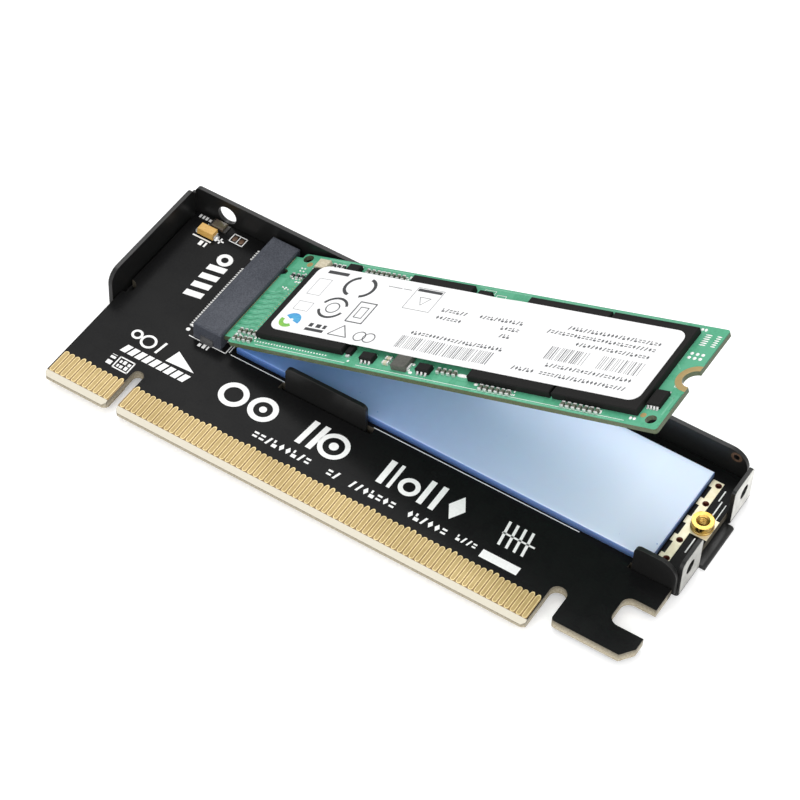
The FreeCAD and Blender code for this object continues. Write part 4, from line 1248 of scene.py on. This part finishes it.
@dataclass
class ModuleAxes:
    """Where the raised module's own axes are in the frame."""

    pivot: Vector
    tilt: float
    shoulder: float = 1.5
    rise: float = 0.4

    @property
    def place(self) -> Matrix:
        """Give the axes at rest, in metres."""
        turned = Matrix.Rotation(math.radians(-self.tilt), 4, "Y")
        return Matrix.Translation(self.pivot) @ turned @ Matrix.Translation(
            Vector((self.shoulder, 0.0, self.rise)) * MM
        )

    @property
    def up(self) -> Direction:
        """Give the direction that the component side looks in at rest."""
        return tuple(self.place.to_3x3() @ Vector((0.0, 0.0, 1.0)))

    def span(self, node: bpy.types.Object) -> tuple[Vector, Vector]:
        """Measure a piece along the module's axes.

        Args:
            node: One of the frame's pieces.

        Returns:
            Its lowest and highest corner, in millimetres.
        """
        back = self.place.inverted()
        spots = [back @ vertex.co / MM for vertex in node.data.vertices]
        low = Vector(tuple(min(spot[axis] for spot in spots) for axis in range(3)))
        high = Vector(tuple(max(spot[axis] for spot in spots) for axis in range(3)))
        return low, high


@dataclass
class ModuleDress:
    """Finishes, copper lines, solder and print of the module's board."""

    palette: Palette
    axes: ModuleAxes
    finishes: dict[str, str] = field(
        default_factory=lambda: {
            "ssd_board": "module_mask",
            "ssd_contacts": "gold_plate",
            "ssd_mount_ring": "gold_plate",
            "ssd_controller": "chip_moulding",
            "ssd_memory": "chip_moulding",
            "ssd_flash_near": "chip_moulding",
            "ssd_flash_far": "chip_moulding",
            "ssd_first_regulator": "chip_moulding",
            "ssd_second_regulator": "chip_moulding",
            "ssd_driver_chip": "chip_moulding",
            "ssd_config_chip": "chip_moulding",
            "ssd_rear_chip": "chip_moulding",
            "ssd_coil": "coil_ferrite",
            "ssd_pale_capacitor": "pale_ceramic",
            "ssd_chip_leads": "bright_tin",
            "ssd_capacitors": "capacitor_ceramic",
            "ssd_resistors": "resistor_glaze",
            "ssd_part_ends": "bright_tin",
        }
    )

    def copper(self) -> None:
        """Raise the copper that shows through the mask, and the darker gaps beside it."""
        lines = Print(height=0.012)
        for step in range(9):
            y = -8.6 + step * 1.25
            lines.line([(-0.9, y), (0.6, y), (1.5, y + 0.55), (2.6, y + 0.55), (3.6, y - 0.2)], 0.24)
        for step in range(4):
            lines.line([(4.8 + step * 0.5, -10.3), (4.8 + step * 0.5, -9.9), (6.4 + step, -9.4)], 0.14)
        for start, end in ((8.0, 20.4), (24.0, 41.5), (45.0, 70.0)):
            lines.line([(start, -10.72), (end, -10.72)], 0.22)
        for start, end in ((3.0, 21.0), (33.0, 42.5), (46.0, 69.0)):
            lines.line([(start, 10.62), (end, 10.62)], 0.26)
        lines.line([(71.9, 6.6), (71.9, 2.6), (72.9, 1.4)], 0.3)
        lines.line([(71.6, -3.6), (72.6, -4.4), (75.2, -4.4), (75.2, -8.0)], 0.24)
        lines.make("ssd_copper_lines", self.palette["mask_over_copper"], Body.MODULE, self.axes.place)
        gaps = Print(height=0.008)
        for step in range(8):
            y = -8.0 + step * 1.25
            gaps.line([(-0.9, y), (0.7, y), (1.6, y + 0.55), (2.5, y + 0.55)], 0.13)
        gaps.line([(76.0, 10.4), (76.0, 3.3)], 0.16)
        gaps.line([(75.9, -3.2), (75.9, -7.0)], 0.16)
        gaps.line([(46.0, 10.2), (69.0, 10.2)], 0.12)
        gaps.make("ssd_clear_lines", self.palette["mask_in_shade"], Body.MODULE, self.axes.place)

    def solder(self) -> None:
        """Bead the bare solder points."""
        beads = Solid()
        for x in (72.9, 73.8, 74.7):
            for y in (5.0, 4.1):
                beads.dome(x, y, (0.3, 0.3), 0.0, 0.12)
        for x, wide in ((73.4, 0.55), (75.1, 0.4)):
            for step in range(6):
                beads.dome(x, 7.0 + step * 0.44, (wide, 0.12), 0.0, 0.08)
        for x, y in ((71.8, 10.1), (72.4, 10.1), (71.2, -9.7), (71.8, -9.7)):
            beads.dome(x, y, (0.24, 0.3), 0.0, 0.14)
        for step in range(26):
            beads.dome(4.5 + step * 0.54, -9.72, (0.15, 0.13), 0.0, 0.08)
        for start, count in ((46.2, 9), (60.2, 10)):
            for step in range(count):
                beads.dome(start + step * 0.68, -9.25 - step % 2 * 0.32, (0.16, 0.2), 0.0, 0.09)
        beads.dome(42.0, -8.3, (1.05, 0.32), 0.0, 0.3)
        for x, y in ((32.9, -9.3), (33.5, -9.7), (33.0, -8.0), (45.0, -9.4)):
            beads.dome(x, y, (0.36, 0.26), 0.0, 0.16)
        pick = random.Random(21)
        for start, end, low, high, count in (
            (0.4, 4.4, -9.7, -7.6, 14),
            (1.0, 4.4, 2.2, 8.0, 18),
            (6.2, 9.4, 8.3, 10.0, 9),
            (12.2, 21.8, 8.4, 10.0, 22),
        ):
            for _ in range(count):
                x, y = pick.uniform(start, end), pick.uniform(low, high)
                beads.dome(x, y, (0.2, 0.14), 0.0, 0.12)
                beads.dome(x + 0.62, y, (0.2, 0.14), 0.0, 0.12)
        beads.make("ssd_solder", self.palette["fresh_solder"], Body.MODULE, self.axes.place, smooth=True)

    def plated_pads(self) -> None:
        """Plate the two round pads and the dotted row behind the tongue."""
        pads = Print(height=0.025)
        pads.disc(2.2, 8.7, 0.5)
        pads.disc(72.7, -8.7, 0.46)
        for step in range(24):
            pads.disc(3.0, -6.6 + step * 0.55, 0.1, 10)
        pads.make("ssd_plated_pads", self.palette["gold_plate"], Body.MODULE, self.axes.place)

    def print(self) -> None:
        """Print the fine lines and marks round the module's parts."""
        ink = Print(height=0.018)
        ink.line([(5.0, -10.42), (22.0, -10.42)], 0.07)
        ink.line([(24.0, -10.42), (70.5, -10.42)], 0.07)
        ink.disc(22.3, -9.9, 0.2)
        ink.bars(46.4, 52.0, -10.1, -9.75, 31)
        ink.bars(60.4, 66.6, -10.1, -9.75, 32)
        ink.bars(25.0, 32.0, 9.9, 10.25, 33)
        ink.frame(34.4, 36.4, 9.2, 10.2, 0.07)
        ink.frame(37.0, 38.6, 8.1, 9.5, 0.08)
        ink.frame(74.0, 75.6, -2.2, -1.2, 0.07)
        ink.make("ssd_print", self.palette["white_print"], Body.MODULE, self.axes.place)

    def build(self, nodes: Nodes) -> None:
        """Dress the module.

        Args:
            nodes: The frame's pieces by name.
        """
        self.palette.add(
            BoardFinish(
                "module_mask", paint(88, 170, 134), paint(74, 154, 118), gloss=(0.16, 0.26), specular=0.25,
                relief=0.002, edge=paint(150, 170, 120), edge_width=0.05, edge_share=0.3,
                core=paint(76, 88, 66), bevelled=paint(100, 106, 82), up=self.axes.up,
                pour=paint(94, 172, 138), pour_share=0.75,
            )
        )
        for node, finish in self.finishes.items():
            nodes[node].data.materials[0] = self.palette[finish]
        self.copper()
        self.solder()
        self.plated_pads()
        self.print()


@dataclass
class SmallParts:
    """The block beside the first regulator and the two capacitors beside the coil."""

    palette: Palette
    axes: ModuleAxes
    ease: float = 0.08
    chip_gap: float = 2.5
    coil_gap: float = 1.5

    def chip(self, solid: Solid, middle: Flat, half: Flat, height: float) -> None:
        """Raise a small block with eased upper edges.

        Args:
            solid: What it is added to.
            middle: Its middle.
            half: Its half length and half width.
            height: How high it stands.
        """
        corners = ((-1, -1), (1, -1), (1, 1), (-1, 1))
        loops = []
        for inset, z in ((0.0, 0.0), (0.0, height - self.ease), (self.ease, height)):
            long, wide = half[0] - inset, half[1] - inset
            loops.append([(middle[0] + x * long, middle[1] + y * wide, z) for x, y in corners])
        solid.stack(loops)

    def build(self, nodes: Nodes) -> None:
        """Place the parts between the frame's own.

        Args:
            nodes: The frame's pieces by name.
        """
        chip_low, _ = self.axes.span(nodes["ssd_first_regulator"])
        coil_low, coil_high = self.axes.span(nodes["ssd_coil"])
        dark, pale, ends = Solid(), Solid(), Solid()
        beside_chip = chip_low.x - self.chip_gap
        self.chip(dark, (beside_chip, -8.0), (0.5, 0.8), 0.7)
        self.chip(ends, (beside_chip, -9.05), (0.34, 0.22), 0.34)
        beside_coil = coil_low.x - self.coil_gap
        for y in (-8.95, -8.0):
            self.chip(pale, (beside_coil, y), (0.34, 0.3), 0.5)
            for side in (-0.42, 0.42):
                self.chip(ends, (beside_coil + side, y), (0.14, 0.33), 0.54)
        for x in (coil_low.x - 0.08, coil_high.x + 0.08):
            self.chip(ends, (x, (coil_low.y + coil_high.y) / 2 - 0.3), (0.2, 0.7), 0.45)
        for name, solid, finish in (
            ("ssd_dark_block", dark, "chip_moulding"),
            ("ssd_pale_parts", pale, "pale_ceramic"),
            ("ssd_small_ends", ends, "bright_tin"),
        ):
            solid.make(name, self.palette[finish], Body.MODULE, self.axes.place)


@dataclass
class Label:
    """The paper label, which sags a little where no chip holds it up."""

    palette: Palette
    axes: ModuleAxes
    low: Vector
    high: Vector
    chips: list[Flat]
    corner: float = 1.7
    sag: float = 0.12
    rows: int = 150
    print_height: float = 0.012

    @classmethod
    def measure(cls, axes: ModuleAxes, nodes: Nodes) -> dict[str, object]:
        """Give the label's corners, and where each chip under it starts and ends.

        Args:
            axes: The module's axes.
            nodes: The frame's pieces by name.

        Returns:
            The measures by field.
        """
        low, high = axes.span(nodes["ssd_label"])
        names = ("ssd_controller", "ssd_memory", "ssd_flash_near", "ssd_flash_far")
        spans = [axes.span(nodes[name]) for name in names]
        return {"low": low, "high": high, "chips": [(start.x, end.x) for start, end in spans]}

    def lift(self, x: float, y: float) -> float:
        """Give how far the label hangs below its chips.

        Args:
            x: The place along the label.
            y: The place across it; not used.

        Returns:
            The fall, as a negative height.
        """
        for (_, start), (end, _) in zip(self.chips, self.chips[1:]):
            if start < x < end:
                share = (x - start) / (end - start)
                return -self.sag * min(1.0, (end - start) / 3) * math.sin(share * math.pi) ** 2
        return 0.0

    def half_width(self, x: float) -> float:
        """Give the label's half width at a place along it, round its corners.

        Args:
            x: The place along the label.

        Returns:
            Half of its width there.
        """
        half = (self.high.y - self.low.y) / 2
        inside = min(x - self.low.x, self.high.x - x, self.corner)
        return half - self.corner + math.sqrt(max(0.0, self.corner**2 - (self.corner - inside) ** 2))

    def paper(self) -> None:
        """Lay the paper."""
        middle = (self.low.y + self.high.y) / 2
        length = self.high.x - self.low.x
        turns = [self.corner * (1 - math.cos(step * math.pi / 16)) for step in range(9)]
        straight = length - self.corner * 2
        run = [self.corner + straight * step / self.rows for step in range(1, self.rows)]
        places = [self.low.x + x for x in turns + run] + [self.high.x - x for x in turns[::-1]]
        rows = []
        for x in places:
            half, z = self.half_width(x), self.high.z + self.lift(x, 0.0)
            rows.append([(x, middle + half * (step / 10 - 1), z) for step in range(21)])
        sheet = Solid()
        grid = sheet.surface(rows)
        thick = self.high.z - self.low.z
        sheet.skirt(grid, lambda point: point.z - thick)
        paper = sheet.make("ssd_label_paper", self.palette["label_paper"], Body.MODULE, self.axes.place)
        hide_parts("ssd_label")

    def ink(self) -> Print:
        """Start a print on the paper's upper face."""
        return Print(base=self.high.z, height=self.print_height, lift=self.lift)

    def black_print(self) -> None:
        """Print the bold shapes at the end nearer the socket."""
        ink = self.ink()
        ink.block(7.7, 11.6, 6.4, 7.1)
        ink.arc((14.6, 4.6), (1.8, 2.35), 105, 150)
        ink.arc((15.6, 4.6), (1.8, 2.35), -75, 150)
        ink.block(12.0, 15.4, -6.5, -5.9)
        for x0, x1 in ((12.2, 12.9), (13.5, 14.4), (14.8, 15.4)):
            ink.block(x0, x1, -5.6, -4.8)
        ink.block(24.9, 29.3, 6.1, 6.7)
        for start in (20, 200):
            ink.arc((13.6, -0.8), (2.0, 2.45), start, 140)
        ink.make("label_bold_print", self.palette["black_print"], Body.MODULE, self.axes.place)

    def grey_print(self) -> None:
        """Print the lighter shapes, the stripes and the rows of small signs."""
        ink = self.ink()
        ink.arc((13.6, -0.8), (1.0, 1.2))
        ink.frame(17.4, 20.4, -3.0, 1.6, 0.22)
        ink.frame(18.2, 19.6, -1.9, 0.5, 0.16)
        ink.line([(16.4, -6.4), (19.8, -6.4), (18.1, -4.0), (16.4, -6.4)], 0.18)
        ink.arc((21.9, -5.6), (0.9, 1.08))
        ink.arc((23.6, -5.6), (0.9, 1.08))
        ink.line([(19.6, 6.0), (23.9, 6.0)], 0.12)
        ink.frame(24.7, 29.5, 2.0, 6.9, 0.08)
        ink.line([(26.2, 4.9), (28.2, 4.9), (27.2, 3.2), (26.2, 4.9)], 0.09)
        ink.frame(7.2, 9.6, 1.2, 5.0, 0.06)
        ink.frame(7.2, 9.9, -2.6, -0.6, 0.06)
        rows = (
            (31.4, 36.0, 2.7, 3.5),
            (31.4, 36.0, 1.0, 1.8),
            (38.0, 46.0, 2.9, 3.7),
            (42.8, 46.0, 1.3, 2.1),
            (43.5, 45.3, -0.3, 0.5),
            (29.5, 46.0, -3.1, -2.3),
            (53.0, 68.6, 3.9, 4.7),
            (50.2, 68.6, 2.5, 3.3),
            (56.0, 68.6, 0.9, 1.7),
            (54.0, 68.6, -4.3, -3.5),
            (54.0, 68.6, -6.1, -5.3),
            (49.2, 53.0, -6.1, -5.3),
        )
        for seed, (x0, x1, y0, y1) in enumerate(rows, start=41):
            ink.signs(x0, x1, y0, y1, seed)
        striped = ((28.6, 45.0, -6.3, -3.6), (52.8, 59.3, -2.8, 0.0), (61.6, 68.5, -2.8, 0.0))
        for seed, (x0, x1, y0, y1) in enumerate(striped, start=61):
            ink.stripes(x0, x1, y0, y1, seed)
        ink.make("label_fine_print", self.palette["grey_print"], Body.MODULE, self.axes.place)

    def disc_print(self) -> None:
        """Print the two coloured arcs near the socket."""
        blue, green = self.ink(), self.ink()
        blue.arc((8.6, -5.0), (0.35, 1.6), -20, 170)
        green.arc((8.2, -5.2), (0.8, 1.55), 165, 150)
        blue.make("label_blue_mark", self.palette["blue_print"], Body.MODULE, self.axes.place)
        green.make("label_green_mark", self.palette["green_print"], Body.MODULE, self.axes.place)

    def build(self) -> None:
        """Make the label and its print."""
        self.paper()
        self.black_print()
        self.grey_print()
        self.disc_print()


# ---- The studio ----


@dataclass(frozen=True)
class Lamp:
    """A square lamp that looks at the object's middle; lengths in metres, power in watts."""

    name: str
    offset: Direction
    size: float
    power: float

    def hang(self, middle: Vector) -> None:
        """Hang the lamp.

        Args:
            middle: The object's middle.
        """
        data = bpy.data.lights.new(self.name, "AREA")
        data.size = self.size
        data.energy = self.power
        lamp = bpy.data.objects.new(self.name, data)
        spot = middle + Vector(self.offset)
        turn = (middle - spot).to_track_quat("-Z", "Y").to_matrix().to_4x4()
        lamp.matrix_world = Matrix.Translation(spot) @ turn
        bpy.context.scene.collection.objects.link(lamp)


@dataclass
class Studio:
    """A white floor, a white surround and three large soft lamps."""

    floor_half: float = 4.0
    floor_tone: float = 0.9
    surround: float = 0.66
    reflected: float = 0.8
    floor_glow: float = 0.3
    floor_gap: float = 0.02
    light_gap: float = 0.05
    lamps: tuple[Lamp, ...] = (
        Lamp("key", (-0.25, 0.35, 0.75), 0.5, 3.3),
        Lamp("fill", (0.6, -0.3, 0.4), 0.6, 2.0),
        Lamp("front", (0.0, -0.65, 0.3), 0.7, 2.4),
    )

    def floor(self, height: float) -> None:
        """Lay the floor, which neither hides nor darkens the object's underside.

        Args:
            height: Where the object stands, in metres.
        """
        half = self.floor_half
        corners = [(x, y, height) for x, y in ((-half, -half), (half, -half), (half, half), (-half, half))]
        mesh = bpy.data.meshes.new("floor")
        mesh.from_pydata(corners, [], [(0, 1, 2, 3)])
        graph = Graph(bpy.data.materials.new("floor"))
        rays = graph.node("ShaderNodeLightPath").outputs
        paper = graph.node("ShaderNodeBsdfDiffuse", {"Color": (self.floor_tone,) * 3}).outputs[0]
        strength = graph.sums("MULTIPLY", rays["Is Camera Ray"], self.floor_glow)
        glow = graph.node("ShaderNodeEmission", {"Strength": strength}).outputs[0]
        both = graph.node("ShaderNodeAddShader", {0: paper, 1: glow}).outputs[0]
        below = graph.node("ShaderNodeNewGeometry").outputs["Backfacing"]
        touching = graph.sums("LESS_THAN", rays["Ray Length"], self.light_gap * MM)
        clear = graph.node("ShaderNodeBsdfTransparent").outputs[0]
        share = graph.sums("MAXIMUM", below, touching)
        mixed = graph.node("ShaderNodeMixShader", {0: share, 1: both, 2: clear}).outputs[0]
        graph.node("ShaderNodeOutputMaterial", {"Surface": mixed})
        mesh.materials.append(graph.owner)
        piece = bpy.data.objects.new("floor", mesh)
        bpy.context.scene.collection.objects.link(piece)
        piece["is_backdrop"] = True

    def air(self) -> None:
        """Light everything evenly from all round."""
        graph = Graph(bpy.data.worlds.new("studio"))
        rays = graph.node("ShaderNodeLightPath").outputs
        glossy = graph.remap(rays["Is Glossy Ray"], (0.0, 1.0), (self.surround, self.reflected))
        strength = graph.sums("MAXIMUM", rays["Is Camera Ray"], glossy)
        light = graph.node("ShaderNodeBackground", {"Color": (1.0, 1.0, 1.0), "Strength": strength})
        graph.node("ShaderNodeOutputWorld", {"Surface": light.outputs["Background"]})
        bpy.context.scene.world = graph.owner

    def build(self, low: Vector, high: Vector) -> None:
        """Set the floor and the light round the object.

        Args:
            low: The object's lowest corner.
            high: The object's highest corner.
        """
        self.floor(low.z - self.floor_gap * MM)
        self.air()
        for lamp in self.lamps:
            lamp.hang((low + high) / 2)


@dataclass
class Camera:
    """The camera, where the card is seen from its front right and from above."""

    spot: Direction = (0.188578, -0.221808, 0.334405)
    right: Direction = (0.84555856, 0.53268796, 0.03569685)
    above: Direction = (-0.4255239, 0.63205225, 0.64764138)
    lens: float = 131.41
    sensor: float = 36.0
    nearest: float = 0.01

    def build(self) -> None:
        """Set the camera."""
        data = bpy.data.cameras.new("camera")
        data.lens = self.lens
        data.sensor_width = self.sensor
        data.clip_start = self.nearest
        camera = bpy.data.objects.new("camera", data)
        right, above = Vector(self.right), Vector(self.above)
        turn = Matrix((right, above, right.cross(above))).transposed().to_4x4()
        camera.matrix_world = Matrix.Translation(Vector(self.spot)) @ turn
        bpy.context.scene.collection.objects.link(camera)
        bpy.context.scene.camera = camera


def main() -> None:
    """Build the looks of the card and its module."""
    logging.basicConfig(level=logging.INFO, format="%(message)s")
    bpy.context.scene.view_settings.view_transform = "Standard"
    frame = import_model()
    nodes = frame["nodes"]
    hinge = frame["joints"][0]
    axes = ModuleAxes(Vector(hinge["pos_m"]), max(hinge["range_deg"]))
    palette = Palette()
    CardDress(palette).build(nodes)
    Contacts(palette).build(nodes["edge_contacts_top"])
    StripHoles(palette).build()
    Pad(palette, **Pad.measure()).build()
    Thread(palette).build()
    PinHole(palette).build()
    CornerPaint(palette).build()
    label = Label(palette, axes, **Label.measure(axes, nodes))
    ModuleDress(palette, axes).build(nodes)
    SmallParts(palette, axes).build(nodes)
    label.build()
    low, high = (Vector(corner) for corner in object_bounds())
    Studio().build(low, high)
    Camera().build()


if __name__ == "__main__":
    main()
